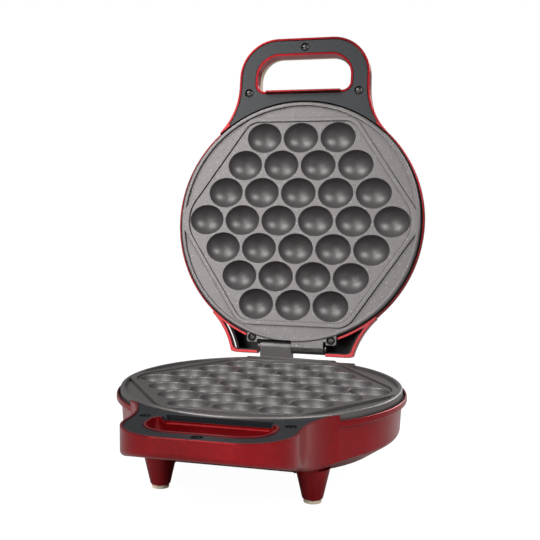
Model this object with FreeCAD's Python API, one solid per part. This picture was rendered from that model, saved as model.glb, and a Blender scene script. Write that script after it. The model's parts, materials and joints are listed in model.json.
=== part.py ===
import FreeCAD, Part
import math
import os

# An electric egg waffle iron: two cast plates with oval pits, hinged at the back.
# It is modelled closed, in millimetres: x to the right, y towards the hinge, and z = 0 on the
# lower plate's rim. Pieces of the lid are modelled the same way up, mirrored and swung open.

# Whole object
plate_radius = 100.0
parting_height = 60.0        # table to the lower plate's rim
open_angle = 101.4           # lid against its stop
closed_gap = 0.4             # between the two rims when shut
overrun = 1.0                # how far a cut passes beyond what it cuts
round_sides = 44             # flats round the plates and the casings' outsides
inner_sides = 20             # flats round hidden bores and rooms
small_sides = 8              # flats round screws, posts and pads
leg_sides = 12
knuckle_sides = 16
corner_steps = 5
small_corner_steps = 3
ear_steps = 3

# Cast plates. The pit field's shares are of the plate's radius
rim_edge = 1.2
rim_width = 3.2
plate_skirt = 7.0            # rim down to its seat in the casing
field_drop = 1.3
pocket_drop = 2.2
pit_pitch_share = 0.31
pit_row_share = 0.232
pit_rows = (3, 4, 5, 6, 5, 4, 3)
pit_width_share = 0.284
pit_height_share = 0.246
pit_depth = 12.0
pit_floor = 2.7
pit_sides = 10
pit_bands = 2
pit_sweep_angle = 68.0
hexagon_flat_share = 0.45    # half length of the hexagon's front and back sides
hexagon_reach_share = 0.866  # centre to those sides
hexagon_corner_share = 0.15
field_tip_share = 0.27
rib_width = 3.3
block_margin = 1.0

# Hinge tab of each plate. The knuckle's share is again of the plate's radius
tab_overhang = 1.0           # past the rim
tab_drop = 0.8
tab_thickness = 5.2
tab_screw_gap = 6.6          # knuckles' outer end to the screws
tab_side_gap = 4.4           # screws to the tab's side
tab_screw_inset = 3.0        # inside the rim
tab_screw_sink = 1.2
tab_bay_gap = 1.0
tab_bay_depth = 10.0
tab_lug_radius = 4.0
hinge_overhang = 3.4         # rim to hinge axis
hinge_rise = 8.0             # lower rim to hinge axis
knuckle_radius = 4.7
knuckle_share = 0.26
knuckle_gap = 0.4
pin_radius = 2.0
pin_fit = 0.05
pin_head_radius = 3.2
pin_head = 1.4
pin_rivet_radius = 2.8
pin_end = 0.6
notch_gap = 0.4

# Casings
lip_overhang = 3.0           # rim to the roll's outermost edge
lip_top = 4.5
lip_height = 6.0
lip_round = 1.6
gutter_gap = 1.4             # rim to the gutter's outer wall
recess_fit = 0.2
wall_inset = 0.8             # the wall stands this far inside the rim
wall_thickness = 2.6
wall_taper = 1.0
crease_depth = 30.5          # rim to where the wall turns under
floor_inset = 17.0
floor_drop = 11.5            # crease to the base's floor
base_floor = wall_thickness
ledge_width = 6.0
ledge_thickness = 2.4
split_drop = 1.6             # ledge to the joint of the lid's frame and its cover
cover_drop = 9.0             # crease to the cover's crown
cover_wall = 2.4

# Handle loops
handle_length = 51.9         # past the casing's roll
handle_half_share = 0.551
handle_side_straight = 19.7  # casing's roll to the loop's corner
handle_drop = 0.8
ear_width = 13.1
ear_length = 11.0            # casing's roll to the ear's outer end
handle_end_depth = 13.4      # thickness of the loop at its end
handle_slope = 17.7          # of the loop's outer face, in degrees
handle_round = 3.2
seat_wall = 1.7
seat_ledge = 1.3
seat_web = 1.6
ear_fade = 14.0
ear_root = 4.0
grip_side = 15.7             # width of the loop beside its opening
grip_end = 15.0
grip_start = 6.4             # casing's roll to the opening
grip_side_straight = 12.6    # opening's depth less its far corner
grip_near_corner = 7.0
grip_wall = 2.4
insert_drop = 0.4
insert_thickness = 2.4
insert_gap = 0.2
tray_wall = 1.2
tray_floor = 1.6
lip_tab_inset = 8.4
lip_tab_slope = 1.4
lip_tab_rise = 3.6
lip_notch_depth = 5.2
lip_notch_gap = 2.0
lip_notch_slope = 4.0
handle_screw_inset = 8.7
handle_screw_offset = 5.6    # casing's roll to the side screws
handle_screw_end = 7.9       # loop's end to the middle screw

# Rear skirts round the hinge, their shares of the plate's radius
skirt_curve_share = 0.64
skirt_centre_x_share = 1.128
skirt_centre_y_share = 1.24
skirt_start_share = 0.809
skirt_overhang = 9.0         # past the casing's roll
lid_skirt_inset = 2.0
skirt_corner = 7.0
skirt_drop = 2.5
skirt_wall = 2.4
base_skirt_depth = 37.0
lid_skirt_depth = 33.0
skirt_round = 3.2
hinge_window_depth = 16.0

# Legs and pads, their places as shares of the plate's radius
leg_x_share = 0.517
leg_y_share = 0.68
leg_top_radius = 11.3
leg_foot_radius = 6.8
leg_foot_height = 3.6
leg_foot_edge = 1.2
leg_root = 6.0               # above the base's floor
pad_radius = 5.8
pad_thickness = 2.5
pad_stem_radius = 2.5
pad_stem = 7.0
pad_gap = 0.1

# Screws
screw_head_radius = 3.2
screw_head = 1.7
screw_head_edge = 0.6
screw_shank_radius = 1.6
screw_hole_gap = 0.15
screw_grip = 6.0
handle_screw_length = 11.6
recess_gap = 0.5
boss_radius = 4.0

# Heating and control, their places as shares of the plate's radius
heater_loop_share = 0.6
heater_loop_bars = 10
heater_gap_angle = 28.0
heater_tail_share = 0.84
heater_half = 3.2
heater_sides = 8
clip_shares = (0.1, 0.4, 0.8)    # where the clips sit along the loop
clip_thickness = 1.0
clip_width = 8.0
clip_foot = 5.0
clip_gap = 0.2
reflector_inset_share = 0.14
reflector_corner_share = 0.1
reflector_thickness = 0.8
post_radius = 3.0
post_circle_share = 0.36
post_height = 10.5
post_count = 3
post_first_angle = 30.0
thermostat_radius = 9.0
thermostat_height = 7.0
thermostat_collar = 1.5
fuse_radius = 2.2
fuse_length = 15.0
fuse_x_share = 0.28
fuse_strap = 0.8
block_length = 28.0
block_width = 13.0
block_height = 9.0
block_y_share = 0.56
block_screw_radius = 1.9
block_poles = 3
clamp_length = 26.0
clamp_width = 8.0
clamp_height = 3.0
clamp_y_share = 0.78
clamp_boss_radius = 3.6
clamp_boss_height = 5.0
clamp_screw_inset = 4.2
gland_rise = 13.0            # skirt's floor to the gland's middle
gland_bore_radius = 3.4
gland_neck_radius = 5.5
gland_flange_radius = 7.6
gland_flange = 2.2
gland_fit = 0.05
lead_slot_half_width = 7.0
lead_slot_height = 12.0
lead_slot_rise = 6.0

# Signal lamps in the lid's cover
lamp_x = 10.0
lamp_y_share = 0.7
lens_radius = 3.0
lens_flange_radius = 4.2
lens_flange = 1.2
lens_length = 5.0
lamp_radius = 2.6
lamp_length = 5.4
lamp_sleeve_wall = 1.2
lamp_sleeve = 10.5           # height inside the cover
lamp_fit = 0.1
lens_gap = 0.1

# Vent slots in the base
vent_count = 3
vent_pitch = 9.0
vent_width = 3.0
vent_length = 26.0
vent_x_share = 0.34

half_turn = 180.0
full_turn = 360.0
x_axis = FreeCAD.Vector(1, 0, 0)
z_axis = FreeCAD.Vector(0, 0, 1)

pit_pitch = plate_radius * pit_pitch_share
pit_row_pitch = plate_radius * pit_row_share
pit_width = plate_radius * pit_width_share
pit_height = plate_radius * pit_height_share
hexagon_flat = plate_radius * hexagon_flat_share
hexagon_reach = plate_radius * hexagon_reach_share
hexagon_corner = plate_radius * hexagon_corner_share
field_tip_radius = plate_radius * field_tip_share
row_lean = pit_pitch / 2 / pit_row_pitch
hexagon_tip = hexagon_flat + hexagon_reach * row_lean
slant_factor = math.hypot(1, row_lean)
field_floor = -field_drop
plate_back = field_floor - pit_depth - pit_floor

knuckle_length = plate_radius * knuckle_share
tab_screw_x = knuckle_length + tab_screw_gap
tab_half_width = tab_screw_x + tab_side_gap
tab_reach = plate_radius + tab_overhang
tab_top = -tab_drop
tab_bottom = tab_top - tab_thickness
tab_screw_y = plate_radius - tab_screw_inset
tab_bay_front = plate_radius - tab_bay_depth
hinge_back = plate_radius + hinge_overhang
hinge_window = knuckle_length + knuckle_gap + pin_end + pin_head
lid_axis_depth = closed_gap - hinge_rise

lip_radius = plate_radius + lip_overhang
gutter_radius = plate_radius + gutter_gap
wall_radius = plate_radius - wall_inset
ledge_inner_radius = plate_radius - ledge_width
seat_level = -plate_skirt
split_depth = plate_skirt + ledge_thickness + split_drop
base_depth = crease_depth + floor_drop
cover_depth = crease_depth + cover_drop
leg_root_depth = base_depth - leg_root
leg_x = plate_radius * leg_x_share
leg_y = plate_radius * leg_y_share

handle_reach = lip_radius + handle_length
handle_half_width = plate_radius * handle_half_share
handle_corner = handle_length - handle_side_straight
ear_half_width = handle_half_width + ear_width
ear_start = lip_radius + ear_length
ear_reach = math.sqrt(lip_radius ** 2 - ear_half_width ** 2)
ear_radius = (ear_width ** 2 + (ear_start - ear_reach) ** 2) / 2 / ear_width
ear_angle = math.degrees(math.asin((ear_start - ear_reach) / ear_radius))
grip_half_width = handle_half_width - grip_side
grip_near = lip_radius + grip_start
grip_far = handle_reach - grip_end
grip_far_corner = grip_far - grip_near - grip_side_straight
insert_top = -handle_drop - insert_drop
insert_bottom = insert_top - insert_thickness
insert_inner_radius = gutter_radius - insert_gap
lip_tab_half_width = grip_half_width - lip_tab_inset
lip_notch_half_width = lip_tab_half_width + lip_notch_gap
side_screw_x = handle_half_width - handle_screw_inset
side_screw_y = lip_radius + handle_screw_offset
end_screw_y = handle_reach - handle_screw_end
handle_screws = ((0, end_screw_y), (side_screw_x, side_screw_y), (-side_screw_x, side_screw_y))
handle_screw_top = insert_top - insert_drop
handle_hole_end = handle_screw_top - handle_screw_length - insert_gap

skirt_curve = plate_radius * skirt_curve_share
skirt_centre_x = plate_radius * skirt_centre_x_share
skirt_centre_y = plate_radius * skirt_centre_y_share
skirt_start = plate_radius * skirt_start_share
skirt_reach = lip_radius + skirt_overhang
lid_skirt_reach = skirt_reach - lid_skirt_inset
gland_depth = base_skirt_depth - gland_rise
lead_slot_depth = base_skirt_depth - lead_slot_rise

heater_loop_radius = plate_radius * heater_loop_share
heater_tail = plate_radius * heater_tail_share
reflector_inset = plate_radius * reflector_inset_share
reflector_corner = plate_radius * reflector_corner_share
post_circle = plate_radius * post_circle_share
fuse_x = plate_radius * fuse_x_share
block_y = plate_radius * block_y_share
clamp_y = plate_radius * clamp_y_share
clamp_screw_x = clamp_length / 2 - clamp_screw_inset
lamp_y = plate_radius * lamp_y_share
lamp_sleeve_depth = cover_depth - lamp_sleeve
vent_x = plate_radius * vent_x_share
far = 2 * handle_reach


def vec(x, y, z=0.0):
    return FreeCAD.Vector(x, y, z)


def polar(centre, radius, angle):
    turn = math.radians(angle)
    return (centre[0] + radius * math.cos(turn), centre[1] + radius * math.sin(turn))


def arc_points(centre, radius, start, end, steps):
    """Points along an arc, ends included."""
    return [polar(centre, radius, start + (end - start) * i / steps) for i in range(steps + 1)]


def face_of(points):
    corners = [vec(*p) for p in points]
    return Part.Face(Part.makePolygon(corners + corners[:1]))


def with_mirror(half):
    """An outline from its right half, mirrored in x."""
    return half + [(-x, y) for x, y in reversed(half)]


def rounded_outline(points, radii, steps):
    """A polygon's outline, each corner rounded by its own radius in short flats."""
    outline = []
    count = len(points)
    for i in range(count):
        here = vec(*points[i])
        before = (vec(*points[i - 1]) - here).normalize()
        after = (vec(*points[(i + 1) % count]) - here).normalize()
        half = before.getAngle(after) / 2
        centre = here + (before + after).normalize() * (radii[i] / math.sin(half))
        foot = here + before * (radii[i] / math.tan(half)) - centre
        end = here + after * (radii[i] / math.tan(half)) - centre
        start = math.degrees(math.atan2(foot.y, foot.x))
        turn = (math.degrees(math.atan2(end.y, end.x)) - start + half_turn) % full_turn - half_turn
        outline += arc_points((centre.x, centre.y), radii[i], start, start + turn, steps)
    return outline


def prism(outline, low, high):
    """A closed outline pulled up from one level to another."""
    solid = face_of(outline).extrude(vec(0, 0, high - low))
    solid.translate(vec(0, 0, low))
    return solid


def block(x0, x1, y0, y1, z0, z1):
    return Part.makeBox(x1 - x0, y1 - y0, z1 - z0, vec(x0, y0, z0))


def slab(low, high):
    """All that lies between two levels."""
    return block(-far, far, -far, far, low, high)


def rod(radius, x0, x1, y, z):
    """A round bar along x."""
    return Part.makeCylinder(radius, x1 - x0, vec(x0, y, z), x_axis)


def barrel(radius, x0, x1, y, z):
    """A many-sided bar along x."""
    ends = [[vec(x, y + radius * math.cos(turn), z + radius * math.sin(turn))
             for turn in (2 * math.pi * (k + 0.5) / knuckle_sides for k in range(knuckle_sides))]
            for x in (x0, x1)]
    return banded_solid(ends)


def ring_points(radius, level, sides, x=0.0, y=0.0):
    return [vec(*polar((x, y), radius, full_turn * k / sides), level) for k in range(sides)]


def turned(profile, sides, x=0.0, y=0.0):
    """A many-sided solid about a vertical line, from its (radius, height) points."""
    return banded_solid([ring_points(r, z, sides, x, y) for r, z in profile])


def drum(radius, low, high, sides=inner_sides):
    """A many-sided disc about the plates' centre."""
    return turned([(radius, low), (radius, high)], sides)


def post(radius, low, high, x, y):
    """A small many-sided post."""
    return turned([(radius, low), (radius, high)], small_sides, x, y)


def fused(shapes):
    whole = shapes[0].fuse(shapes[1:]) if len(shapes) > 1 else shapes[0]
    return whole.removeSplitter()


def polyhedron(faces):
    """A solid from flat polygons, turned the right way out."""
    shell = Part.Shell([Part.Face(Part.makePolygon(list(p) + [p[0]])) for p in faces])
    solid = Part.Solid(shell)
    if solid.Volume < 0:
        solid.reverse()
    return solid


def banded_solid(rings):
    """A solid from rings of equally many points, closed by its first and last ring."""
    faces = [rings[0], rings[-1]]
    for low, high in zip(rings, rings[1:]):
        for i in range(len(low)):
            j = (i + 1) % len(low)
            faces.append((low[i], low[j], high[j], high[i]))
    return polyhedron(faces)


# Outlines in plan


def handle_outline(inset):
    """The handle loop's outline, without its grip opening."""
    side = handle_half_width - inset
    corner = handle_corner - inset
    ear_centre = (handle_half_width + ear_radius, -ear_start)
    corner_centre = (side - corner, corner - handle_reach + inset)
    ear = arc_points(ear_centre, ear_radius + inset, half_turn - ear_angle, half_turn, ear_steps)
    turn = arc_points(corner_centre, corner, 0, -90, corner_steps)
    return with_mirror(ear + turn)


def grip_outline(grow):
    """The finger opening's outline."""
    side = grip_half_width + grow
    near = -grip_near + grow
    farther = -grip_far - grow
    radii = [grip_near_corner + grow] * 2 + [grip_far_corner + grow] * 2
    corners = [(-side, near), (side, near), (side, farther), (-side, farther)]
    return rounded_outline(corners, radii, small_corner_steps)


def skirt_outline(reach, inset):
    """The rear skirt's outline, concave at its sides."""
    centre = (skirt_centre_x, skirt_centre_y)
    curve = skirt_curve + inset
    corner = skirt_corner - inset
    back = reach - inset
    fall = skirt_centre_y - back + corner
    turn_x = skirt_centre_x - math.sqrt((curve + corner) ** 2 - fall ** 2)
    high = half_turn + math.degrees(math.asin(fall / (curve + corner)))
    low = half_turn + math.degrees(math.asin((skirt_centre_y - skirt_start) / skirt_curve))
    side = arc_points(centre, curve, low, high, ear_steps)
    turn = arc_points((turn_x, back - corner), corner, high - half_turn, 90, small_corner_steps)
    return with_mirror(side + turn[1:])


def hexagon_outline(inset, corner, tip_radius):
    """The pit field's hexagon, whose slanted sides follow the staggered rows."""
    reach = hexagon_reach - inset
    tip = hexagon_tip - inset * slant_factor
    flat = tip - reach * row_lean
    points = [(tip, 0), (flat, reach), (-flat, reach), (-tip, 0), (-flat, -reach), (flat, -reach)]
    return rounded_outline(points, [tip_radius, corner, corner] * 2, small_corner_steps)


def under_slope(shift):
    """Everything beyond the handle's sloping outer face, moved inwards by shift."""
    rise = math.tan(math.radians(handle_slope))
    lift = shift / math.cos(math.radians(handle_slope))
    low = -handle_end_depth + lift
    front = (-far, low + (far - handle_reach) * rise)
    back = (far, low - (far + handle_reach) * rise)
    points = [vec(-far, *front), vec(-far, *back), vec(-far, far, -2 * far), vec(-far, -far, -2 * far)]
    face = Part.Face(Part.makePolygon(points + points[:1]))
    return face.extrude(vec(2 * far, 0, 0))


# Cast plates


def pit():
    """One oval pit as a cutter, its bowl made of flat facets in a few bands."""
    levels = [(1.0, -overrun / pit_depth)]
    for i in range(pit_bands + 1):
        turn = math.radians(pit_sweep_angle * i / pit_bands)
        levels.append((math.cos(turn), math.sin(turn) / math.sin(math.radians(pit_sweep_angle))))
    rings = []
    for size, depth in levels:
        ring = []
        for k in range(pit_sides):
            turn = math.radians(full_turn * (k + 0.5) / pit_sides)
            x = pit_width / 2 * size * math.cos(turn)
            y = pit_height / 2 * size * math.sin(turn)
            ring.append(vec(x, y, field_floor - pit_depth * depth))
        rings.append(ring)
    return banded_solid(rings)


def pit_centres():
    """Staggered rows of pits, from the front row to the back one."""
    middle = (len(pit_rows) - 1) / 2
    for row, count in enumerate(pit_rows):
        for column in range(count):
            yield (column - (count - 1) / 2) * pit_pitch, (row - middle) * pit_row_pitch


def plate_body():
    """A plate without its pits and knuckle: rim, pockets, ribs, pit block and tab."""
    edge = [(plate_radius, -plate_skirt), (plate_radius, -rim_edge), (plate_radius - rim_edge, 0)]
    rim = turned(edge, round_sides)
    tab = block(-tab_half_width, tab_half_width, hexagon_reach, tab_reach, tab_bottom, tab_top)
    lugs = [post(tab_lug_radius, -plate_skirt, tab_bottom, s * tab_screw_x, tab_screw_y) for s in (-1, 1)]
    back = prism(hexagon_outline(block_margin, hexagon_corner, field_tip_radius), plate_back, -plate_skirt)
    back = back.common(drum(ledge_inner_radius - recess_fit, plate_back, 0))
    plate = fused([rim, tab, back] + lugs)
    pockets = drum(plate_radius - rim_width, -pocket_drop, overrun, round_sides)
    pockets = pockets.cut(prism(hexagon_outline(0, hexagon_corner, rib_width), -far, far))
    field = prism(hexagon_outline(rib_width, hexagon_corner - rib_width, field_tip_radius),
                  field_floor, overrun)
    holes = []
    for x, y in tab_places():
        holes.append(post(screw_shank_radius + screw_hole_gap, -far, far, x, y))
        seat = tab_top - tab_screw_sink - screw_head
        holes.append(post(screw_head_radius + recess_gap, seat, overrun, x, y))
    return plate.cut([pockets, field] + holes)


def with_pits(plate):
    cutter = pit()
    cutters = []
    for x, y in pit_centres():
        one = cutter.copy()
        one.translate(vec(x, y))
        cutters.append(one)
    return plate.cut(cutters)


def lower_plate():
    """The plate whose knuckle stands up past the parting plane, left of the middle."""
    arm = block(-knuckle_length, 0, hinge_back - knuckle_radius, hinge_back + knuckle_radius,
                tab_bottom, hinge_rise)
    knuckle = barrel(knuckle_radius, -knuckle_length, 0, hinge_back, hinge_rise)
    plate = fused([plate_body(), arm, knuckle])
    bore = rod(pin_radius + pin_fit, -far, far, hinge_back, hinge_rise)
    return with_pits(plate.cut(bore))


def upper_plate():
    """The plate whose knuckle lies beside the other one, with a notch where that one passes."""
    start = knuckle_gap
    end = knuckle_gap + knuckle_length
    arm = block(start, end, hinge_back - 2 * knuckle_radius, hinge_back, -plate_skirt, tab_top)
    knuckle = barrel(knuckle_radius, start, end, hinge_back, lid_axis_depth)
    notch_edge = hinge_back - knuckle_radius - notch_gap
    head_room = pin_head + pin_end + notch_gap
    left = block(-knuckle_length - head_room, start, notch_edge, far, -far, far)
    right = block(end, end + head_room, notch_edge, far, -far, far)
    plate = fused([plate_body().cut([left, right]), arm, knuckle])
    bore = rod(pin_radius + pin_fit, -far, far, hinge_back, lid_axis_depth)
    return with_pits(plate.cut(bore))


def hinge_pin():
    """A headed pin through both knuckles, its far end riveted over."""
    start = -knuckle_length - pin_end
    end = knuckle_gap + knuckle_length + pin_end
    shank = rod(pin_radius, start, end, hinge_back, hinge_rise)
    head = barrel(pin_head_radius, start - pin_head, start, hinge_back, hinge_rise)
    rivet = barrel(pin_rivet_radius, end, end + pin_head, hinge_back, hinge_rise)
    return fused([shank, head, rivet])


# Screws


def screw(x, y, top, length):
    """A pan-head screw, head up."""
    head = turned([(screw_head_radius, top - screw_head), (screw_head_radius, top - screw_head_edge),
                   (screw_head_radius - screw_head_edge, top)], small_sides, x, y)
    return fused([head, post(screw_shank_radius, top - length, top - screw_head, x, y)])


def handle_screw_set():
    return Part.Compound([screw(x, -v, handle_screw_top, handle_screw_length) for x, v in handle_screws])


def tab_screw_set():
    top = tab_top - tab_screw_sink
    length = top + split_depth + screw_grip
    return Part.Compound([screw(s * tab_screw_x, tab_screw_y, top, length) for s in (-1, 1)])


# Handle loops


def seat_pocket():
    """The shallow recess in the loop's face that takes the dark insert."""
    seat = prism(handle_outline(seat_wall), insert_bottom, overrun)
    return seat.cut(prism(grip_outline(grip_wall), -far, far))


def loop_hollow(floor, bottom):
    """The room inside the loop, beside the grip opening's own wall."""
    room = prism(handle_outline(seat_wall + seat_ledge), bottom, insert_bottom + overrun)
    room = room.cut([prism(grip_outline(grip_wall), -far, far), drum(lip_radius, -far, far)])
    return room.cut(under_slope(floor))


def handle_bosses(bottom, top):
    """Posts under the three screws of a loop."""
    return [post(boss_radius, bottom, top, x, -v) for x, v in handle_screws]


def screw_holes(top, bottom, places):
    radius = screw_shank_radius + screw_hole_gap
    return [post(radius, min(bottom, top), max(bottom, top), x, y) for x, y in places]


def handle_places():
    return [(x, -v) for x, v in handle_screws]


def tab_places():
    return [(s * tab_screw_x, tab_screw_y) for s in (-1, 1)]


def tray_block(width, near, thickness):
    """The space of the step down in the base's insert, behind the grip opening."""
    top, low = overrun, -lip_notch_depth - thickness
    half = lip_notch_half_width + width
    points = [(-half - lip_notch_slope, top), (half + lip_notch_slope, top), (half, low), (-half, low)]
    wire = Part.makePolygon([vec(x, -near, z) for x, z in points + points[:1]])
    depth = grip_near - grip_wall - insert_gap - near
    return Part.Face(wire).extrude(vec(0, -depth))


def handle_insert(stepped):
    """The dark face plate of a loop, with counterbored screw holes."""
    plan = handle_outline(seat_wall + insert_gap)
    plate = prism(plan, insert_bottom, insert_top)
    inside = drum(insert_inner_radius, -far, far, round_sides)
    plate = plate.cut([inside, prism(grip_outline(grip_wall + insert_gap), -far, far)])
    if stepped:
        tray = tray_block(0, insert_inner_radius, tray_floor).cut([slab(insert_top, far), inside])
        plate = fused([plate, tray]).cut(tray_block(-tray_wall, insert_inner_radius + tray_wall, 0))
    recess = insert_top - insert_drop - screw_head
    wide = [post(screw_head_radius + recess_gap, recess, overrun, x, y) for x, y in handle_places()]
    return plate.cut(wide + screw_holes(far, -far, handle_places()))


# Casings


def roll_points():
    """The casings' outer roll, from its crest to the wall below it."""
    return [(gutter_radius + recess_fit, -lip_top), (lip_radius, -lip_top - lip_round),
            (wall_radius, -lip_top - lip_height)]


def wall_points(shrink, floor):
    """A casing's outside below the roll: its wall, then the slant under it."""
    foot = wall_radius - shrink - wall_taper
    return [(foot, -crease_depth), (foot - floor_inset, floor)]


def room_points(shrink, wall, top, floor):
    """The room inside a casing, parallel to its outside."""
    foot = wall_radius - shrink - wall_taper - wall
    return [(foot, top), (foot, -crease_depth + wall / 2), (foot - floor_inset + wall / 2, floor + wall)]


def plate_recess():
    """The gutter and seat round the plate, the opening in its ledge, and the tab's bay."""
    return [
        drum(gutter_radius, seat_level, overrun, round_sides),
        drum(ledge_inner_radius, seat_level - ledge_thickness - overrun, overrun),
        block(-tab_half_width - tab_bay_gap, tab_half_width + tab_bay_gap, tab_bay_front,
              tab_reach + tab_bay_gap, seat_level, overrun),
    ]


def rolled_skirt(reach, top, bottom):
    """A rear skirt with the lower edges of its sides and back bevelled."""
    return banded_solid([
        [vec(x, y, top) for x, y in skirt_outline(reach, 0)],
        [vec(x, y, bottom + skirt_round) for x, y in skirt_outline(reach, 0)],
        [vec(x, y, bottom) for x, y in skirt_outline(reach, skirt_round)],
    ])


def slope_level(y):
    """The height of the loop's sloping outer face."""
    return -handle_end_depth - (y + handle_reach) * math.tan(math.radians(handle_slope))


def handle_block(bottom):
    """The loop's solid form, its outer face sloping back to the casing, its ears fading out."""
    outer = handle_outline(0)
    solid = banded_solid([
        [vec(x, y, -handle_drop) for x, y in outer],
        [vec(x, y, slope_level(y) + handle_round) for x, y in outer],
        [vec(x, y, slope_level(y)) for x, y in handle_outline(handle_round)],
    ])
    fades = []
    trims = []
    for side in (-1, 1):
        start = (side * ear_half_width, -ear_reach)
        turn = math.degrees(math.atan2(start[1], start[0])) + side * ear_fade
        end = polar((0, 0), wall_radius - wall_thickness / 2, turn)
        inner = polar((0, 0), wall_radius - wall_thickness, turn - side * ear_fade)
        root = (side * (ear_half_width - ear_root), -ear_reach - ear_root / 2)
        fades.append(prism([start, end, inner, root], -base_depth, -lip_top - lip_round))
        trims.append(ear_trim(vec(*start), vec(*end)))
    return fused([solid] + fades).cut(trims + [slab(-far, bottom)])


def ear_trim(start, end):
    """What lies below the casing's slanting underside, carried on past an ear."""
    along = (end - start).normalize()
    out = along.cross(z_axis)
    if out.dot(start) < 0:
        out = -out
    slope = (base_depth - crease_depth) / floor_inset
    level = -crease_depth
    inner = start - out * far + vec(0, 0, level - far * slope)
    outer = start + out * far + vec(0, 0, level + far * slope)
    corners = [inner - along * far, outer - along * far, outer + along * far, inner + along * far]
    face = Part.Face(Part.makePolygon(corners + corners[:1]))
    return face.extrude(vec(0, 0, -far))


def legs():
    """Four tapered legs, each with a bevelled foot."""
    foot = -parting_height + leg_foot_height - leg_foot_edge
    profile = [(leg_foot_radius - leg_foot_edge, foot), (leg_foot_radius, foot + leg_foot_edge),
               (leg_top_radius, -leg_root_depth)]
    return [turned(profile, leg_sides, sx * leg_x, sy * leg_y) for sx in (-1, 1) for sy in (-1, 1)]


def leg_sockets():
    """Blind holes for the pads' stems."""
    low = -parting_height
    top = low + pad_thickness + pad_stem + pad_gap
    return [post(pad_stem_radius + pad_gap, low, top, sx * leg_x, sy * leg_y)
            for sx in (-1, 1) for sy in (-1, 1)]


def foot_pad(side, end):
    """A soft pad under one leg, with a stem pressed up into it."""
    top = -parting_height + leg_foot_height - leg_foot_edge
    x, y = side * leg_x, end * leg_y
    pad = post(pad_radius, -parting_height, top, x, y)
    return fused([pad, post(pad_stem_radius, top, top + pad_stem, x, y)])


def vents():
    """Two groups of slots in the base's floor."""
    slots = []
    for side in (-1, 1):
        for i in range(vent_count):
            y = (i - (vent_count - 1) / 2) * vent_pitch
            x = side * vent_x
            slots.append(block(x - vent_length / 2, x + vent_length / 2,
                               y - vent_width / 2, y + vent_width / 2,
                               -base_depth - overrun, -base_depth + base_floor + overrun))
    return slots


def lower_shell():
    """The base: round pan, handle loop, rear skirt and legs in one moulding."""
    floor = -base_depth
    pan = turned(roll_points() + wall_points(0, floor), round_sides)
    skirt = rolled_skirt(skirt_reach, -lip_top, -base_skirt_depth)
    body = fused([pan, handle_block(floor), skirt] + legs())
    room = turned(room_points(0, wall_thickness, seat_level - ledge_thickness, floor), inner_sides)
    skirt_room = prism(skirt_outline(skirt_reach, skirt_wall), -base_skirt_depth + skirt_wall, overrun)
    skirt_room = skirt_room.cut(drum(lip_radius, -far, far))
    lead_slot = block(-lead_slot_half_width, lead_slot_half_width, ledge_inner_radius - wall_thickness,
                      hinge_back, -lead_slot_depth, lead_slot_height - lead_slot_depth)
    knuckle_bay = block(-knuckle_length - tab_bay_gap, tab_bay_gap, tab_bay_front,
                        hinge_back + knuckle_radius + tab_bay_gap, seat_level, overrun)
    tray = tray_block(insert_gap, gutter_radius - tray_wall, tray_floor + insert_gap)
    body = body.cut(plate_recess() + [
        knuckle_bay, room, skirt_room, lead_slot, prism(grip_outline(0), -far, far), seat_pocket(),
        loop_hollow(base_floor, floor), lip_notch(), tray,
    ])
    posts = [p.cut(under_slope(base_floor / 2)) for p in handle_bosses(floor, insert_bottom)]
    low = -base_skirt_depth + skirt_wall / 2
    posts += [post(boss_radius, low, seat_level, x, y) for x, y in tab_places()]
    posts += [post(clamp_boss_radius, floor + base_floor / 2, floor + base_floor + clamp_boss_height,
                   s * clamp_screw_x, clamp_y) for s in (-1, 1)]
    body = fused([body] + posts)
    holes = screw_holes(overrun, handle_hole_end, handle_places())
    holes += screw_holes(overrun, -split_depth - 2 * screw_grip, tab_places())
    holes += screw_holes(-split_depth, floor + base_floor, [(s * clamp_screw_x, clamp_y) for s in (-1, 1)])
    neck = gland_bar(gland_neck_radius + gland_fit, hinge_back, skirt_reach + overrun)
    return body.cut(holes + [neck] + leg_sockets() + vents())


def lip_notch():
    """The low stretch of the base's grip wall, where the lid's lip comes down."""
    top, low = overrun, -lip_notch_depth
    half = lip_notch_half_width
    near = -grip_near - overrun
    points = [(-half - lip_notch_slope, top), (half + lip_notch_slope, top), (half, low), (-half, low)]
    wire = Part.makePolygon([vec(x, near, z) for x, z in points + points[:1]])
    return Part.Face(wire).extrude(vec(0, grip_wall + overrun + insert_gap, 0))


def lip_tab():
    """The lid's lip: its grip wall carried down past the parting plane."""
    half = lip_tab_half_width
    points = [(-half - lip_tab_slope, -insert_thickness), (half + lip_tab_slope, -insert_thickness),
              (half, lip_tab_rise), (-half, lip_tab_rise)]
    wire = Part.makePolygon([vec(x, -grip_near, z) for x, z in points + points[:1]])
    return Part.Face(wire).extrude(vec(0, grip_wall, 0))


def upper_shell():
    """The lid's frame: outer roll, handle loop's face and the skirt's lower edge."""
    level = -split_depth
    ring = turned(roll_points() + [(wall_radius, level)], round_sides)
    loop = prism(handle_outline(0), level, -handle_drop)
    skirt = prism(skirt_outline(lid_skirt_reach, 0), level, -skirt_drop)
    body = fused([ring, loop, skirt])
    skirt_room = prism(skirt_outline(lid_skirt_reach, skirt_wall), -far, far)
    skirt_room = skirt_room.cut(drum(lip_radius, -far, far))
    window = block(-hinge_window, hinge_window, hinge_back - knuckle_radius - 2 * notch_gap, far, -far, far)
    hollow = loop_hollow(-far, level - overrun).cut(slab(insert_bottom - seat_web, far))
    body = body.cut(plate_recess() + [drum(ledge_inner_radius, -far, far), skirt_room, window,
                                      prism(grip_outline(0), -far, far), seat_pocket(), hollow])
    bosses = handle_bosses(level, insert_bottom)
    bosses += [post(boss_radius, level, seat_level, x, y) for x, y in tab_places()]
    body = fused([body, lip_tab()] + bosses)
    return body.cut(screw_holes(far, -far, handle_places() + tab_places()))


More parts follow.
